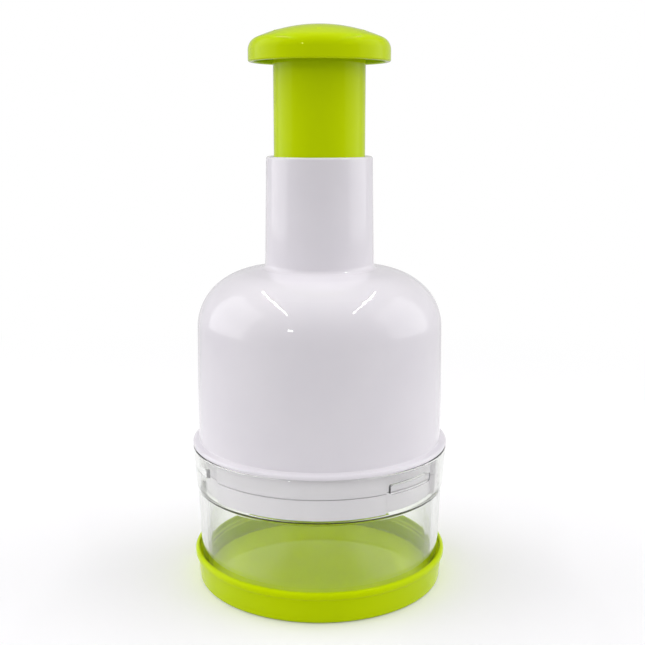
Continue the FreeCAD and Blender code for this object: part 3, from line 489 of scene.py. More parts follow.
class Grown(Sheet):
    """A Geometry Nodes tree under construction, with named sizes in millimetres or degrees."""

    def __init__(self, name, **sizes):
        super().__init__(bpy.data.node_groups.new(name, "GeometryNodeTree"))
        self.name, self.sizes = name, sizes
        self.tree.interface.new_socket("Shape", in_out="OUTPUT", socket_type="NodeSocketGeometry")
        for label, size in sizes.items():
            kind = "NodeSocketInt" if isinstance(size, int) else "NodeSocketFloat"
            self.tree.interface.new_socket(label, in_out="INPUT", socket_type=kind)
        self.given = self.node("NodeGroupInput")
        self.index = self.node("GeometryNodeInputIndex")

    def __getitem__(self, label):
        return self.given[label]

    def vector(self, x=0.0, y=0.0, z=0.0):
        return self.node("ShaderNodeCombineXYZ", {}, {"X": x, "Y": y, "Z": z})

    def scaled(self, shape, factor):
        return self.node("GeometryNodeTransform", {}, {"Geometry": shape, "Scale": (factor, factor, factor)})

    def made(self, shape, material):
        """The tree's shape as an object with a plain mesh."""
        whole = self.node("GeometryNodeRealizeInstances", {}, {0: self.scaled(shape, MM)})
        painted = self.node("GeometryNodeSetMaterial", {}, {"Geometry": whole, "Material": material})
        self.node("NodeGroupOutput", {}, {0: painted})
        piece = placed(self.name, bpy.data.meshes.new(self.name))
        grown = piece.modifiers.new("grown", "NODES")
        grown.node_group = self.tree
        for item in self.tree.interface.items_tree:
            if item.in_out == "INPUT":
                grown[item.identifier] = self.sizes[item.name]
        return settled(piece)


def ring_of(name, source, material, **sizes):
    """Copies of one piece round the axis. Start goes from +X towards +Y; the piece's x points out."""
    source.data.materials.append(material)
    grown = Grown(name, **sizes)
    angle = (grown["Start"] + grown.index * 360.0 / grown["Count"]) * math.radians(1)
    across = grown["Radius"] * angle.put_through("COSINE")
    along = grown["Radius"] * angle.put_through("SINE")
    places = grown.vector(across, along, grown["Height"])
    dots = grown.node("GeometryNodePoints", {}, {"Count": grown["Count"], "Position": places})
    one = grown.node("GeometryNodeObjectInfo", {}, {"Object": source})["Geometry"]
    copies = grown.node("GeometryNodeInstanceOnPoints", {}, {
        "Points": dots,
        "Instance": grown.scaled(one, 1 / MM),
        "Rotation": grown.vector(z=angle),
    })
    piece = grown.made(copies, material)
    bpy.data.objects.remove(source)
    return piece


def gathered(first, *others):
    """One piece from several bodies of the same part."""
    with bpy.context.temp_override(active_object=first, selected_editable_objects=[first, *others]):
        bpy.ops.object.join()
    return first


# Three bosses hang under the dome for the sleeve's screws, their tops cut to the dome's slope.
BOSS_CIRCLE = 27.6
BOSS_R = 3.6
BOSS_TOP = 4.2
PILOT_R = 1.4
DOME_SLOPE = 0.27
boss = turned("boss", [
    (0, 0, 0),
    (PILOT_R, 0, 0),
    (PILOT_R, -8.0, 0),
    (1.6, -8.4, 0),
    (BOSS_R, -8.4, 0.3),
    (BOSS_R, BOSS_TOP, 0),
    (0, BOSS_TOP, 0),
], spread(48))
for vertex in boss.data.vertices:
    if vertex.co.z > (BOSS_TOP - 0.2) * MM:
        vertex.co.z -= DOME_SLOPE * vertex.co.x
bosses = ring_of("bosses", boss, white, Count=3, Radius=BOSS_CIRCLE, Start=90.0, Height=112.4)
housing = gathered(shell, bosses)
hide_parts("housing_shell")
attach(housing, "housing")


# ------------ guard ring
# White ring that snaps into the skirt from below and carries the wiper disc on its inner lip.
# Its pads carry on the housing's, and a fine seam is left between the two.
guard_low, guard_high = [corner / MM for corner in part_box("guard_ring")]
SEAM = SKIRT_LOW - 0.2
GUARD_OPENING_R = 36.6
GUARD_NECK_R = 40.9
GUARD_BORE = 39.3
GUARD_LIP = guard_low.z + 1.4
guard = turned("guard_moulding", [
    (GUARD_OPENING_R, guard_low.z, 0.4),
    (CHANNEL_R, guard_low.z, 0.3),
    (CHANNEL_R, SEAM, 0.2),
    (GUARD_NECK_R, SEAM, 0),
    (GUARD_NECK_R, SEAM + 3.05, 0),
    (41.2, SEAM + 3.5, 0.15),
    (GUARD_NECK_R, SEAM + 3.95, 0),
    (GUARD_NECK_R, guard_high.z, 0.4),
    (GUARD_BORE, guard_high.z, 0.4),
    (GUARD_BORE, GUARD_LIP, 0.2),
    (GUARD_OPENING_R, GUARD_LIP, 0.2),
], sorted(pad_bearings), pad_reach)
guard.data.materials.append(white)
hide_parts("guard_ring")
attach(guard, "housing")


# ------------ wiper
# Disc of soft polyethylene that turns with the blade and wipes it through a zigzag slot. It lies
# loose on the guard's lip, under a white ring that is pressed into the guard.
FOLD_CORNERS = 8
FOLD_SPACING = 9.017
BEND_CIRCLE = 33.1
BEND = 2.4
BEND_STEPS = 14
END_FOLD = (0.255, 0.967)


def strung(tree, count, place):
    """Path through `count` points; `place` gives each its place."""
    row = tree.node("GeometryNodeMeshLine", {}, {"Count": count})
    line = tree.node("GeometryNodeSetPosition", {}, {"Geometry": row, "Position": place})
    return tree.node("GeometryNodeMeshToCurve", {}, {0: line})


def outlined(tree, corners):
    """Closed cross-section with these corners."""
    around = tree.node("GeometryNodeCurvePrimitiveCircle", {"mode": "RADIUS"}, {"Resolution": len(corners)})
    picked = {0: tree.index}
    for number, (across, along) in enumerate(corners):
        picked[number + 1] = tree.vector(across, along)
    places = tree.node("GeometryNodeIndexSwitch", {"data_type": "VECTOR", "items": len(corners)}, picked)
    return tree.node("GeometryNodeSetPosition", {}, {"Geometry": around, "Position": places})


def swept(tree, path, section):
    """Solid that a cross-section leaves along a path."""
    sockets = {"Curve": path, "Profile Curve": section, "Fill Caps": True}
    return tree.node("GeometryNodeCurveToMesh", {}, sockets)


def zigzag_bar(name, material, **sizes):
    """Upright sheet that zigzags across a circle, its bends rounded and its lower edge ground sharp."""
    bar = Grown(name, Corners=FOLD_CORNERS, Spacing=FOLD_SPACING, Circle=BEND_CIRCLE, Bend=BEND, **sizes)
    x = (bar.index - (bar["Corners"] - 1.0) / 2.0) * bar["Spacing"]
    side = bar.index.sum("MODULO", bar.index, 2.0) * 2.0 - 1.0
    depth = bar["Circle"] * bar["Circle"] - x * x
    y = side * depth.put_through("SQRT")
    at_start = bar.index < 0.5
    at_end = bar.index > bar["Corners"] - 1.5
    lean = (at_start + at_end) * bar["Tail"]
    # Both ends run on along the outermost folds, which all but share one slope.
    tip_x = x + at_end * lean * END_FOLD[0] - at_start * lean * END_FOLD[0]
    tip_y = y + side * lean * END_FOLD[1]
    bent = bar.node("GeometryNodeFilletCurve", {"mode": "POLY"}, {
        "Curve": strung(bar, bar["Corners"], bar.vector(tip_x, tip_y)),
        "Count": BEND_STEPS,
        "Radius": bar["Bend"],
        "Limit Radius": True,
    })
    upright = bar.node("GeometryNodeSetCurveNormal", {"mode": "Z_UP"}, {"Curve": bent})
    half = bar["Thickness"] / 2.0
    inner = half - bar["Bevel"]
    edge = 0 - bar["Low"]
    bevel_top = 0 - (bar["Low"] + bar["Bevel"])
    top = 0 - bar["High"]
    section = [(inner, edge), (0 - inner, edge), (0 - half, bevel_top), (0 - half, top),
               (half, top), (half, bevel_top)]
    return bar.made(swept(bar, upright, outlined(bar, section)), material)


def soft_moulded(name, main, shade, roughness, grain, relief):
    """Unpolished moulded plastic: cloudy colour, fine grain and a few rub marks."""
    finish = Finish(name)
    cloud = finish.noise(14.0, 4.0)
    grit = finish.noise(grain, 3.0)
    rubs = hairlines(finish, 0.8, 0.006)
    return finish.done(finish.surface(
        Base_Color=finish.mixed(main, shade, cloud, 0.3, 0.7),
        Roughness=roughness + 0.12 * (cloud - 0.5) + 0.1 * (grit - 0.5) - 0.08 * rubs,
        IOR=1.5,
        Subsurface_Weight=0.08,
        Subsurface_Scale=0.002,
        Normal=finish.bump(grit + 0.4 * rubs, relief),
    ))


wiper_low, wiper_high = [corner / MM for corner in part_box("wiper_disc")]
polyethylene = soft_moulded("wiper_polyethylene", colour(226, 228, 228), colour(216, 219, 220),
                            0.42, 0.5, 0.006)
wiper = turned("wiper_moulding", [
    (0, wiper_low.z, 0),
    (wiper_high.x, wiper_low.z, 0),
    (wiper_high.x, wiper_high.z, 0),
    (0, wiper_high.z, 0),
], spread(180))
SLOT_WIDTH = 1.9
SLOT_TAIL = 0.45
slot = zigzag_bar("slot", polyethylene, Thickness=SLOT_WIDTH, Bevel=0.0, Tail=SLOT_TAIL,
                  Low=wiper_low.z - 1.0, High=wiper_high.z + 1.0)
cut = wiper.modifiers.new("cut", "BOOLEAN")
cut.object = slot
cut.solver = "EXACT"
eased = wiper.modifiers.new("eased", "BEVEL")
eased.width = 0.2 * MM
eased.segments = 2
eased.limit_method = "ANGLE"
eased.angle_limit = math.radians(50.0)
wiper.modifiers.new("flats", "WEIGHTED_NORMAL")
settled(wiper)
bpy.data.objects.remove(slot)
wiper.data.materials.clear()
wiper.data.materials.append(polyethylene)
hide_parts("wiper_disc")
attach(wiper, "wiper")

retainer_low, retainer_high = [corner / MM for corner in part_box("wiper_retainer")]
RETAINER_BORE = 36.5
retainer = turned("retainer_moulding", [
    (RETAINER_BORE, retainer_low.z, 0.3),
    (retainer_high.x, retainer_low.z, 0.3),
    (retainer_high.x, retainer_high.z, 0.3),
    (RETAINER_BORE, retainer_high.z, 0.3),
])
retainer.data.materials.append(white)
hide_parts("wiper_retainer")
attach(retainer, "housing")


# ------------ blade
# One stainless strip, folded seven times and ground sharp along its lower edge. Four tabs on its
# top edge go up through the holder and the plate, and are peened over.
def steel(name, main, shade, roughness, lines, depth, edge=None):
    """Bright steel drawn or rolled in one direction, and ground upwards below the height `edge`."""
    finish = Finish(name)
    drawn = finish.noise(0.12, 2.0, finish.stretched(lines))
    cloud = finish.noise(9.0, 3.0)
    marks = hairlines(finish, 0.7, 0.01)
    pattern = drawn
    rough = roughness + 0.12 * (drawn - 0.5) + 0.08 * (cloud - 0.5) + 0.06 * marks
    if edge is not None:
        height = finish.node("ShaderNodeSeparateXYZ", {}, {"Vector": finish.place})["Z"]
        ground = finish.noise(0.1, 2.0, finish.stretched((1.0, 1.0, 0.03)))
        on_edge = finish.node("ShaderNodeMapRange", {}, {
            "Value": height,
            "From Min": (edge + 0.9) * MM,
            "From Max": (edge + 0.5) * MM,
        })
        pattern = drawn * (1 - on_edge) + ground * on_edge
        rough = rough + 0.12 * on_edge
    return finish.done(finish.surface(
        Base_Color=finish.mixed(main, shade, pattern),
        Metallic=1.0,
        Roughness=rough,
        Normal=finish.bump(pattern - 0.3 * marks, depth),
    ))


def block(name, low, high, ease):
    """Box with eased edges between two corners."""
    shape = bmesh.new()
    bmesh.ops.create_cube(shape, size=1.0)
    for vertex in shape.verts:
        vertex.co = Vector([(a + b) / 2 + v * (b - a) for a, b, v in zip(low, high, vertex.co)]) * MM
    bmesh.ops.bevel(shape, geom=shape.edges[:], offset=ease * MM, segments=2, profile=0.5, affect="EDGES")
    return shaded(name, shape)


def fold_corner(number):
    """Plan of one corner of the zigzag."""
    x = (number - (FOLD_CORNERS - 1) / 2) * FOLD_SPACING
    return Vector((x, (1 if number % 2 else -1) * math.sqrt(BEND_CIRCLE ** 2 - x ** 2)))


blade_low, blade_high = [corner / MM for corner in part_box("blade_strip")]
blade_steel = steel("rolled_stainless", colour(205, 206, 208), colour(188, 190, 193), 0.24,
                    (0.02, 0.02, 1.0), 0.003, blade_low.z)
BLADE_TOP = 77.8
THICKNESS = 1.0
TAB_HALF_WIDTH = 3.0
strip = zigzag_bar("blade_steel", blade_steel, Thickness=THICKNESS, Bevel=0.35, Tail=0.0,
                   Low=blade_low.z, High=BLADE_TOP)
tabs = []
for fold, share in ((1, 0.5), (2, 0.25), (4, 0.75), (5, 0.5)):
    begin = fold_corner(fold)
    heading = fold_corner(fold + 1) - begin
    centre = begin + heading * share
    tab = block("tab", (-TAB_HALF_WIDTH, -THICKNESS / 2, BLADE_TOP - 1.0),
                (TAB_HALF_WIDTH, THICKNESS / 2, blade_high.z), 0.15)
    tab.data.materials.append(blade_steel)
    turn = Matrix.Rotation(math.atan2(heading.y, heading.x), 4, "Z")
    tab.data.transform(Matrix.Translation(centre.to_3d() * MM) @ turn)
    tabs.append(tab)
strip.data.set_sharp_from_angle(angle=CREASE)
blade = gathered(strip, *tabs)
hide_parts("blade_strip")
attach(blade, "blades")


# ------------ blade holder
# Grey ABS disc with a hub for the shaft, a stainless plate laid on it, and four rivets with sunk
# lower heads through both. The plate spreads the load of the tabs.
inner_grey = soft_moulded("inner_abs", colour(206, 206, 204), colour(196, 197, 196), 0.46, 0.35, 0.012)
holder_low, holder_high = [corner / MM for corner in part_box("blade_holder")]
plate_low, plate_high = [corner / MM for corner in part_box("blade_plate")]
HUB_R = 8.0


def refined(node, material):
    """Piece in a node's exact shape: its facets merged, and its round faces smooth."""
    shape = bmesh.new()
    shape.from_mesh(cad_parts[node].data)
    bmesh.ops.remove_doubles(shape, verts=shape.verts, dist=0.001 * MM)
    bmesh.ops.dissolve_degenerate(shape, edges=shape.edges, dist=0.0005 * MM)
    piece = shaded(node + "_part", shape)
    piece.data.materials.clear()
    piece.data.materials.append(material)
    return piece


holder = refined("blade_holder", inner_grey)
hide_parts("blade_holder")
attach(holder, "blades")

plate_steel = steel("brushed_stainless", colour(208, 209, 211), colour(192, 194, 197), 0.3,
                    (0.02, 1.0, 1.0), 0.003)
plate = turned("plate_steel", [
    (HUB_R, plate_low.z, 0.1),
    (plate_high.x, plate_low.z, 0.15),
    (plate_high.x, plate_high.z, 0.15),
    (HUB_R, plate_high.z, 0.1),
])
plate.data.materials.append(plate_steel)
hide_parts("blade_plate")
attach(plate, "blades")

RIVET_R = 1.5
RIVET_HEAD_R = 2.4
RIVET_HEAD = 0.7
rivet_pairs = []
for radius, start in ((26.954, 33.242), (19.805, 76.845)):
    rivet = turned("rivet", [
        (0, holder_low.z, 0),
        (RIVET_HEAD_R, holder_low.z, 0.2),
        (RIVET_HEAD_R, holder_low.z + RIVET_HEAD, 0),
        (RIVET_R, holder_low.z + RIVET_HEAD, 0),
        (RIVET_R, plate_high.z, 0),
        (RIVET_HEAD_R, plate_high.z, 0.1),
        (RIVET_HEAD_R, plate_high.z + RIVET_HEAD, 0.56),
        (0, plate_high.z + RIVET_HEAD, 0),
    ], spread(40))
    rivet_pairs.append(ring_of("rivets", rivet, plate_steel, Count=2, Radius=radius, Start=start, Height=0.0))
rivets = gathered(*rivet_pairs)
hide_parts("blade_rivets")
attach(rivets, "blades")


# ------------ shaft
# Stainless shaft: a twisted square bar below, one turn in 280 mm, and round above, with a collar
# under the stem's plate and a groove for the clip. Its spigot is pressed into the holder's hub.
shaft_low, shaft_high = [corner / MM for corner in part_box("spiral_shaft")]
TWIST_ZERO = 82.0
TWIST_RATE = 45.0 / 35.0


def twisted_bar(name, material, **sizes):
    """Square bar with chamfered corners, twisted evenly about the axis."""
    bar = Grown(name, **sizes)
    half = bar["Side"] / 2.0
    short = half - bar["Chamfer"]
    section = [(half, 0 - short), (half, short), (short, half), (0 - short, half),
               (0 - half, short), (0 - half, 0 - short), (0 - short, 0 - half), (short, 0 - half)]
    height = bar["Low"] + (bar["High"] - bar["Low"]) * bar.index / (bar["Rows"] - 1.0)
    axis = strung(bar, bar["Rows"], bar.vector(z=height))
    straight = swept(bar, axis, outlined(bar, section))
    place = bar.node("GeometryNodeInputPosition")
    up = bar.node("ShaderNodeSeparateXYZ", {}, {"Vector": place})["Z"]
    turn = (up - bar["Zero"]) * bar["Rate"] * math.radians(1)
    turned_place = bar.node("ShaderNodeVectorRotate", {"rotation_type": "Z_AXIS"},
                            {"Vector": place, "Angle": turn})
    twisted = bar.node("GeometryNodeSetPosition", {}, {"Geometry": straight, "Position": turned_place})
    return bar.made(twisted, material)


shaft_steel = steel("turned_stainless", colour(206, 207, 209), colour(190, 192, 195), 0.2,
                    (0.05, 0.05, 1.0), 0.002)
SQUARE_TOP = 127.8
ROD_R = 3.0
SHAFT_COLLAR_R = 4.6
SHAFT_COLLAR = 193.716
CLIP_GROOVE_R = 2.5
CLIP_GROOVE = 200.566
SHAFT_SPIGOT_R = 2.6
square = twisted_bar("shaft_steel", shaft_steel, Side=6.0, Chamfer=0.7, Low=holder_high.z, High=SQUARE_TOP,
                     Zero=TWIST_ZERO, Rate=TWIST_RATE, Rows=94)
square.data.set_sharp_from_angle(angle=math.radians(30.0))
rod = turned("rod", [
    (0, SQUARE_TOP - 0.4, 0),
    (2.95, SQUARE_TOP - 0.4, 0),
    (ROD_R, SQUARE_TOP + 1.0, 0),
    (ROD_R, SHAFT_COLLAR, 0),
    (SHAFT_COLLAR_R, SHAFT_COLLAR, 0.4),
    (SHAFT_COLLAR_R, SHAFT_COLLAR + 2.0, 0.2),
    (ROD_R, SHAFT_COLLAR + 2.0, 0),
    (ROD_R, CLIP_GROOVE, 0),
    (CLIP_GROOVE_R, CLIP_GROOVE, 0),
    (CLIP_GROOVE_R, CLIP_GROOVE + 0.9, 0),
    (ROD_R, CLIP_GROOVE + 0.9, 0),
    (ROD_R, shaft_high.z, 0.4),
    (0, shaft_high.z, 0),
], spread(64))
spigot = turned("spigot", [
    (0, shaft_low.z, 0),
    (SHAFT_SPIGOT_R, shaft_low.z, 0.3),
    (SHAFT_SPIGOT_R, holder_high.z + 0.4, 0),
    (0, holder_high.z + 0.4, 0),
], spread(48))
for part in (rod, spigot):
    part.data.materials.append(shaft_steel)
shaft = gathered(square, rod, spigot)
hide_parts("spiral_shaft")
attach(shaft, "blades")


# ------------ nut and cover
# Natural nylon nut with a twisted square hole, whose saw teeth lock on the cover's while the
# plunger goes down. The cover is grey ABS, held up under the sleeve by three countersunk screws.
nylon = soft_moulded("natural_nylon", colour(232, 227, 212), colour(224, 217, 198), 0.36, 0.6, 0.006)
nut = refined("twist_nut", nylon)
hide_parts("twist_nut")
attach(nut, "housing")

cover = refined("nut_cover", inner_grey)
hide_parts("nut_cover")
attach(cover, "housing")


def plated(name):
    """Zinc-plated steel: fine crystals, a blue and straw bloom, and scuffed high spots."""
    finish = Finish(name)
    crystals = finish.noise(0.3, 3.0)
    bloom = finish.noise(2.4, 3.0)
    scuffs = hairlines(finish, 0.5, 0.012)
    blue, straw = colour(198, 202, 210), colour(210, 207, 196)
    return finish.done(finish.surface(
        Base_Color=finish.mixed(blue, straw, bloom),
        Metallic=1.0,
        Roughness=0.26 + 0.16 * (crystals - 0.5) + 0.1 * (bloom - 0.5) + 0.08 * scuffs,
        Normal=finish.bump(crystals - 0.3 * scuffs, 0.004),
    ))


def screw(name, head, recess_r, thread, pitch, tip):
    """Screw that stands on its head. `thread` is its start, its end and the shank's radius."""
    width = recess_r * 0.42
    thread_low, thread_high, shank_r = thread
    corner = math.degrees(math.atan2(width / 2, recess_r))
    bearings = set(spread(32)) | set(spread(4, 45.0)) | on_both_sides(spread(4), [corner])

    def cross_and_thread(radius, height, bearing):
        angle = math.radians(bearing)
        level = abs(math.cos(angle)) + 1e-9, abs(math.sin(angle)) + 1e-9
        if radius < recess_r + 0.001:
            bars = [min(recess_r / a, width / 2 / b) for a, b in (level, level[::-1])]
            return max(bars) * radius / recess_r, height
        if thread_low < height < thread_high and abs(radius - shank_r) < 0.001:
            phase = ((height - thread_low) / pitch - bearing / 360.0) % 1.0
            crest = 1.0 - min(abs(phase - 0.5) / 0.3, 1.0)
            fade = min((height - thread_low) / pitch, (thread_high - height) / pitch, 1.0)
            return radius * (0.8 + 0.2 * max(crest, 1.0 - fade)), height
        return radius, height

    length = thread_high - thread_low
    count = round(length / pitch * 8)
    shank = [(shank_r, thread_low + length * step / count, 0) for step in range(count + 1)]
    point = [(*tip, 0.2), (0, tip[1], 0)]
    return turned(name, head + shank + point, sorted(bearings), cross_and_thread)


zinc = plated("zinc_plating")
cover_screw = screw("cover_screw", [
    (0, 0.75, 0),
    (0.95, 0.65, 0),
    (1.0, 0, 0),
    (2.3, 0, 0),
    (1.2, 1.1, 0),
], recess_r=1.0, thread=(2.0, 7.2, 1.2), pitch=0.8, tip=(0.7, 8.0))
cover_screws = ring_of("cover_screws_steel", cover_screw, zinc, Count=3, Radius=17.3, Start=30.0, Height=82.0)
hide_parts("cover_screws")
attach(cover_screws, "housing")


# ------------ guide sleeve
# Grey ABS sleeve that carries on the neck's bore inside the bell. Its floor is the spring's seat,
# with the nut's chamber below it. Three pan-head screws hold its flange to the dome's bosses.
sleeve = refined("guide_sleeve", inner_grey)
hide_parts("guide_sleeve")
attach(sleeve, "housing")

sleeve_screw = screw("sleeve_screw", [
    (0, 1.2, 0),
    (1.4, 1.1, 0),
    (1.54, 0, 0),
    (2.8, 0, 0.99),
    (2.8, 2.2, 0),
    (1.5, 2.2, 0),
], recess_r=1.54, thread=(3.2, 12.2, 1.5), pitch=1.1, tip=(0.8, 13.2))
sleeve_screws = ring_of("sleeve_screws_steel", sleeve_screw, zinc, Count=3, Radius=BOSS_CIRCLE,
                        Start=90.0, Height=98.8)
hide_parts("sleeve_screws")
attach(sleeve_screws, "housing")


# ------------ return spring
# Compression spring of drawn wire, its end coils closed, between a plated washer on the sleeve's
# floor and the stem's plate. The real spring shortens from below as the plunger goes down; this
# mesh keeps its length and moves with the plunger.
washer = refined("spring_washer", zinc)
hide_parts("spring_washer")
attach(washer, "housing")


def spring_wire_finish():
    """Drawn spring wire: fine lines that follow the wire round, and a film of oil."""
    finish = Finish("spring_wire")
    apart = finish.node("ShaderNodeSeparateXYZ", {}, {"Vector": finish.place})
    level = finish.node("ShaderNodeCombineXYZ", {}, {"X": apart["X"], "Y": apart["Y"]})
    radius = finish.node("ShaderNodeVectorMath", {"operation": "LENGTH"}, {0: level})["Value"]
    round_wire = finish.node("ShaderNodeCombineXYZ", {}, {"X": radius, "Z": apart["Z"]})
    lines = finish.noise(0.12, 2.0, round_wire)
    film = finish.noise(3.0, 2.0)
    bright, dull = colour(176, 177, 180), colour(150, 150, 152)
    return finish.done(finish.surface(
        Base_Color=finish.mixed(bright, dull, lines),
        Metallic=1.0,
        Roughness=0.3 + 0.14 * (lines - 0.5) + 0.12 * (film - 0.5),
        Normal=finish.bump(lines, 0.004),
    ))


wire_steel = spring_wire_finish()
spring_low, spring_high = [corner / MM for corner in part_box("return_spring")]
coils = Grown("return_spring_wire", Turns=12.0, Steps=577, Mean=12.7, Wire=1.6,
              Low=spring_low.z, High=spring_high.z)
share = coils.index / (coils["Steps"] - 1.0)
turns = share * coils["Turns"]
angle = turns * math.tau
open_share = coils.node("ShaderNodeMapRange", {}, {
    "Value": turns,
    "From Min": 1.0,
    "From Max": coils["Turns"] - 1.0,
})
closed = turns.sum("MINIMUM", turns, 1.0) + turns.sum("MAXIMUM", turns - coils["Turns"] + 1.0, 0.0)
free = coils["High"] - coils["Low"] - coils["Wire"] * 3.0
height = coils["Low"] + coils["Wire"] / 2.0 + coils["Wire"] * closed + free * open_share
across = coils["Mean"] * angle.put_through("COSINE")
along = coils["Mean"] * angle.put_through("SINE")
helix = strung(coils, coils["Steps"], coils.vector(across, along, height))
section = coils.node("GeometryNodeCurvePrimitiveCircle", {"mode": "RADIUS"},
                     {"Resolution": 14, "Radius": coils["Wire"] / 2.0})
spring = coils.made(swept(coils, helix, section), wire_steel)
spring.data.set_sharp_from_angle(angle=math.radians(50.0))
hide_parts("return_spring")
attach(spring, "plunger")
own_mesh(spring)


# ------------ plunger stem
# Green polypropylene tube that slides in the neck, closed by a plate at the top. Two keys at its
# foot run in the neck's keyways, and stop it at the top of its stroke.
stem_low, stem_high = [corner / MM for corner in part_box("plunger_stem")]
STEM_R = 16.53
STEM_BORE = 14.5
BUSH_HOLE_R = 4.8
PLATE_Z = stem_high.z - 3.0
tube = turned("plunger_stem_moulding", [
    (STEM_BORE, stem_low.z, 0.4),
    (STEM_R, stem_low.z, 0.4),
    (STEM_R, stem_high.z, 0.3),
    (BUSH_HOLE_R, stem_high.z, 0),
    (BUSH_HOLE_R, PLATE_Z, 0),
    (STEM_BORE, PLATE_Z, 0.4),
])
tube.data.materials.append(green)
KEY_HALF_WIDTH = 2.5
key = block("key", (STEM_R - 0.6, -KEY_HALF_WIDTH, stem_low.z + 0.3),
            (stem_high.x, KEY_HALF_WIDTH, stem_low.z + 5.7), 0.4)
keys = ring_of("keys", key, green, Count=2, Radius=0.0, Start=0.0, Height=0.0)
stem = gathered(tube, keys)
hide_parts("plunger_stem")
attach(stem, "plunger")


# ------------ knob
# Green mushroom knob, hollow underneath, with a ring round the stem's top, six ribs and three
# bosses. Three pan-head screws go up through the stem's plate into the bosses.
knob_low, knob_high = [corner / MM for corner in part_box("knob_cap")]
RIM_Z = knob_low.z
TOP_Z = knob_high.z
RING_Z = PLATE_Z + 0.2
WALL = 1.8
CAP_BORE = 23.65
RING_BORE = 16.73
RING_R = 18.33
cap = turned("knob_moulding", [
    (knob_high.x, RIM_Z, 0.7),
    (knob_high.x, TOP_Z - 5.806, 4.7),
    (11.151, TOP_Z, 57.04),
    (0, TOP_Z, 0),
    (0, TOP_Z - WALL, 0),
    (10.799, TOP_Z - WALL, 55.24),
    (CAP_BORE, TOP_Z - 7.018, 2.9),
    (CAP_BORE, RIM_Z, 0.7),
])
cap.data.materials.append(green)
ring = turned("ring", [
    (RING_BORE, RING_Z, 0.3),
    (RING_R, RING_Z, 0.3),
    (RING_R, TOP_Z - 3.4, 0),
    (RING_BORE, TOP_Z - 2.9, 0),
])
ring.data.materials.append(green)


def slab(name, outline, thickness):
    """Flat rib whose (x, z) outline stands upright across the y direction."""
    shape = bmesh.new()
    sides = []
    for y in (-thickness / 2, thickness / 2):
        sides.append([shape.verts.new(Vector((x, y, z)) * MM) for x, z in outline])
    shape.faces.new(sides[0])
    shape.faces.new(sides[1])
    for index in range(len(outline)):
        onward = (index + 1) % len(outline)
        shape.faces.new([sides[0][index], sides[0][onward], sides[1][onward], sides[1][index]])
    return shaded(name, shape)


RIB_START, RIB_END = 17.5, 24.4
rib = slab("rib", [
    (RIB_START, RING_Z + 0.8),
    (RIB_END, RING_Z + 0.8),
    (RIB_END, TOP_Z - 6.6),
    (23.4, TOP_Z - 5.6),
    (20.5, TOP_Z - 3.9),
    (RIB_START, TOP_Z - 2.6),
], thickness=1.4)
ribs = ring_of("ribs", rib, green, Count=6, Radius=0.0, Start=30.0, Height=0.0)
POST_CIRCLE = 9.2
POST_R = 2.6
post = turned("post", [
    (0, stem_high.z, 0),
    (POST_R, stem_high.z, 0.2),
    (POST_R, TOP_Z - 1.5, 0),
    (0, TOP_Z - 1.5, 0),
], spread(40))
posts = ring_of("posts", post, green, Count=3, Radius=POST_CIRCLE, Start=0.0, Height=0.0)
knob = gathered(cap, ring, ribs, posts)
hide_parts("knob_cap")
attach(knob, "plunger")

knob_screw = screw("knob_screw", [
    (0, 1.15, 0),
    (1.1, 1.05, 0),
    (1.21, 0, 0),
    (2.2, 0, 0.95),
    (2.2, 2.1, 0),
    (1.25, 2.1, 0),
], recess_r=1.21, thread=(2.8, 7.5, 1.25), pitch=0.95, tip=(0.7, 8.3))
knob_screws = ring_of("knob_screws_steel", knob_screw, zinc, Count=3, Radius=POST_CIRCLE, Start=0.0,
                      Height=PLATE_Z - 2.1)
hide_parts("knob_screws")
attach(knob_screws, "plunger")


# ------------ swivel
# The shaft turns in a flanged nylon bush in the stem's plate. A stainless washer and an open
# spring clip in the shaft's groove hold it there.
bush = refined("swivel_bush", nylon)
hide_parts("swivel_bush")
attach(bush, "plunger")

thrust = refined("thrust_washer", plate_steel)
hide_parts("thrust_washer")
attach(thrust, "blades")

clip = refined("shaft_clip", wire_steel)
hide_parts("shaft_clip")
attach(clip, "blades")


# ------------ studio
# Pale floor that runs out of view, and white surroundings that light the object evenly. Big soft
# lamps stand left, right and above, with a small window and two thin tubes for the bright marks.
scene = bpy.context.scene
scene.view_settings.view_transform = "Standard"

CAMERA_TILT = 11.26
lens = bpy.data.cameras.new("camera")
lens.sensor_width = 36.0
lens.lens = 56.65
camera = placed("camera", lens)
camera.location = (0.0011, -0.3725, 0.172)
camera.rotation_euler = (math.radians(90.0 - CAMERA_TILT), 0.0, 0.0)
scene.camera = camera

world = bpy.data.worlds.new("studio")
world.use_nodes = True
scene.world = world
air = Sheet(world.node_tree)
air.tree.nodes.clear()


def eased(sheet, value, start, end, low=0.0, high=1.0):
    """Smooth change from low to high while a value goes from start to end."""
    return sheet.node("ShaderNodeMapRange", {"interpolation_type": "SMOOTHSTEP"},
                      {"Value": value, "From Min": start, "From Max": end, "To Min": low, "To Max": high})


def glow(sheet, strength):
    """White light of this strength: from the surface in a finish, and else from all round."""
    kind = "ShaderNodeEmission" if isinstance(sheet, Finish) else "ShaderNodeBackground"
    return sheet.node(kind, {}, {"Color": WHITE, "Strength": strength})


def blend(sheet, factor, first, second):
    """First shader where the factor is 0 and second where it is 1."""
    return sheet.node("ShaderNodeMixShader", {}, {0: factor, 1: first, 2: second})


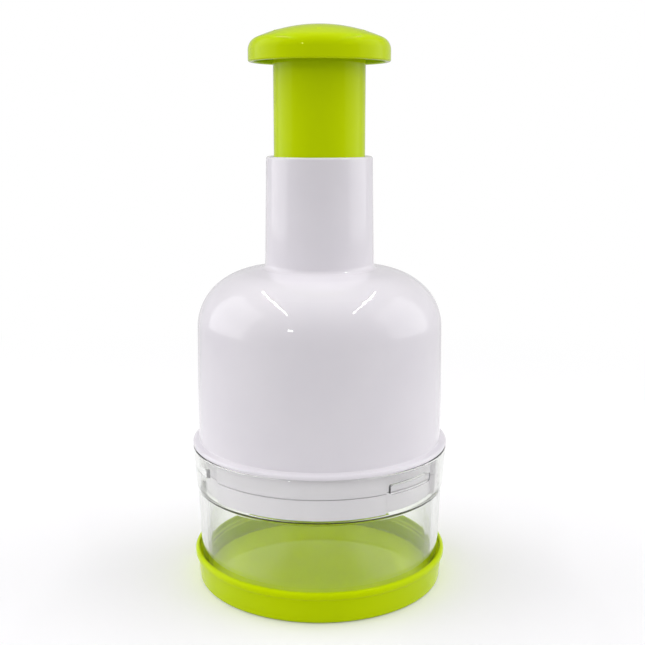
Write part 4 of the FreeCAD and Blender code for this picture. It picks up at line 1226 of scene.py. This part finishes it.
# The room is dimmer towards the viewer, overhead and far behind, so that round pieces shade off.
# What is seen directly or through the cup is plain white.
ROOM_LEVEL = 0.965
ray = air.node("ShaderNodeLightPath")
direction = air.node("ShaderNodeTexCoord")["Generated"]
heading = air.node("ShaderNodeSeparateXYZ", {}, {"Vector": direction})
depth = eased(air, heading["Y"], -0.85, 0.25, 0.3, 1.0)
far_side = eased(air, heading["Y"], 0.1, 0.8, 1.0, 0.6)
height = eased(air, heading["Z"], 0.0, 0.5, 0.97, 1.06)
zenith = eased(air, heading["Z"], 0.45, 0.95, 1.0, 0.45)
overhead = eased(air, heading["Z"], 0.1, 0.45, 1.0, 0.45)
level = (depth * 0.4 + 0.6) * (far_side * 0.5 + 0.5) * height * zenith * ROOM_LEVEL
behind = glow(air, 1.0)
mirrored = glow(air, depth * overhead * far_side)
room = glow(air, level)
lit = blend(air, ray["Is Glossy Ray"], room, mirrored)
backdrop = blend(air, ray["Is Camera Ray"] + ray["Is Transmission Ray"], lit, behind)
air.node("ShaderNodeOutputWorld", {}, {"Surface": backdrop})


def floor_finish():
    """White card: matt where the object stands, and plain white to the camera further off."""
    finish = Finish("floor_card")
    ray = finish.node("ShaderNodeLightPath")
    lit_card = finish.surface(Base_Color=colour(243, 242, 244), Roughness=0.9, Specular_IOR_Level=0.0,
                              Emission_Color=WHITE, Emission_Strength=0.07)
    dull_card = finish.surface(Base_Color=colour(212, 211, 214), Roughness=0.9, Specular_IOR_Level=0.0)
    near = blend(finish, ray["Is Diffuse Ray"], lit_card, dull_card)
    # Right before the cup a painted dark patch, seen only in reflections and through the glass, makes
    # the card mirror darker, so that the cup's front wall lies clear over the green.
    spot = finish.node("ShaderNodeSeparateXYZ", {}, {"Vector": finish.place})
    sideways = spot["X"].put_through("ABSOLUTE")
    before_cup = eased(finish, spot["Y"], -0.035, -0.07) * eased(finish, spot["Y"], -0.08, -0.14, 1.0, 0.0)
    painted_reflection_shade = before_cup * eased(finish, sideways, 0.02, 0.06, 1.0, 0.0)
    reflected = (ray["Is Glossy Ray"] + ray["Is Transmission Ray"]) * (ray["Diffuse Depth"] < 0.5)
    # Painted shade: a dim glow stands in for the lit card, for mirrored and transmitted rays only.
    near = blend(finish, reflected * painted_reflection_shade * 0.85, near, glow(finish, 0.15))
    bright = glow(finish, 1.0)
    dim = glow(finish, 0.7)
    bounced = glow(finish, 0.25)
    unseen = blend(finish, ray["Is Glossy Ray"], bounced, dim)
    far = blend(finish, ray["Is Camera Ray"] + ray["Is Transmission Ray"], unseen, bright)
    away = finish.node("ShaderNodeVectorMath", {"operation": "LENGTH"}, {0: finish.place})["Value"]
    return finish.done(blend(finish, eased(finish, away, 0.12, 0.5), near, far))


sheet_mesh = bmesh.new()
bmesh.ops.create_grid(sheet_mesh, x_segments=8, y_segments=8, size=3.0)
floor_mesh = bpy.data.meshes.new("floor")
sheet_mesh.to_mesh(floor_mesh)
sheet_mesh.free()
floor_mesh.materials.append(floor_finish())
floor = placed("floor", floor_mesh)


def soft_light(name, bearing, height, distance, size, radiance):
    """Rectangular lamp at a bearing and an angle above the object's middle, turned towards it."""
    light = bpy.data.lights.new(name, "AREA")
    light.shape = "RECTANGLE"
    light.size, light.size_y = size
    light.energy = radiance * math.pi * size[0] * size[1]
    lamp = placed(name, light)
    round_about, up = math.radians(bearing), math.radians(height)
    level = math.cos(up)
    out = Vector((math.sin(round_about) * level, -math.cos(round_about) * level, math.sin(up)))
    lamp.location = Vector((0.0, 0.0, 0.1)) + out * distance
    lamp.rotation_euler = out.to_track_quat("Z", "Y").to_euler()
    return lamp


soft_light("left_light", -97.0, 22.0, 0.8, (0.8, 0.75), 1.0)
soft_light("right_light", 92.0, 22.0, 0.8, (0.8, 0.75), 0.94)
soft_light("top_light", 0.0, 70.0, 0.85, (0.9, 0.8), 0.12)
soft_light("window", -27.0, 24.0, 0.8, (0.05, 0.035), 40.0)
for side in (-1, 1):
    tube = soft_light("tube", side * 90.0, 63.0, 0.79, (0.005, 0.77), 110.0)
    tube.rotation_euler = (0.0, 0.0, 0.0)
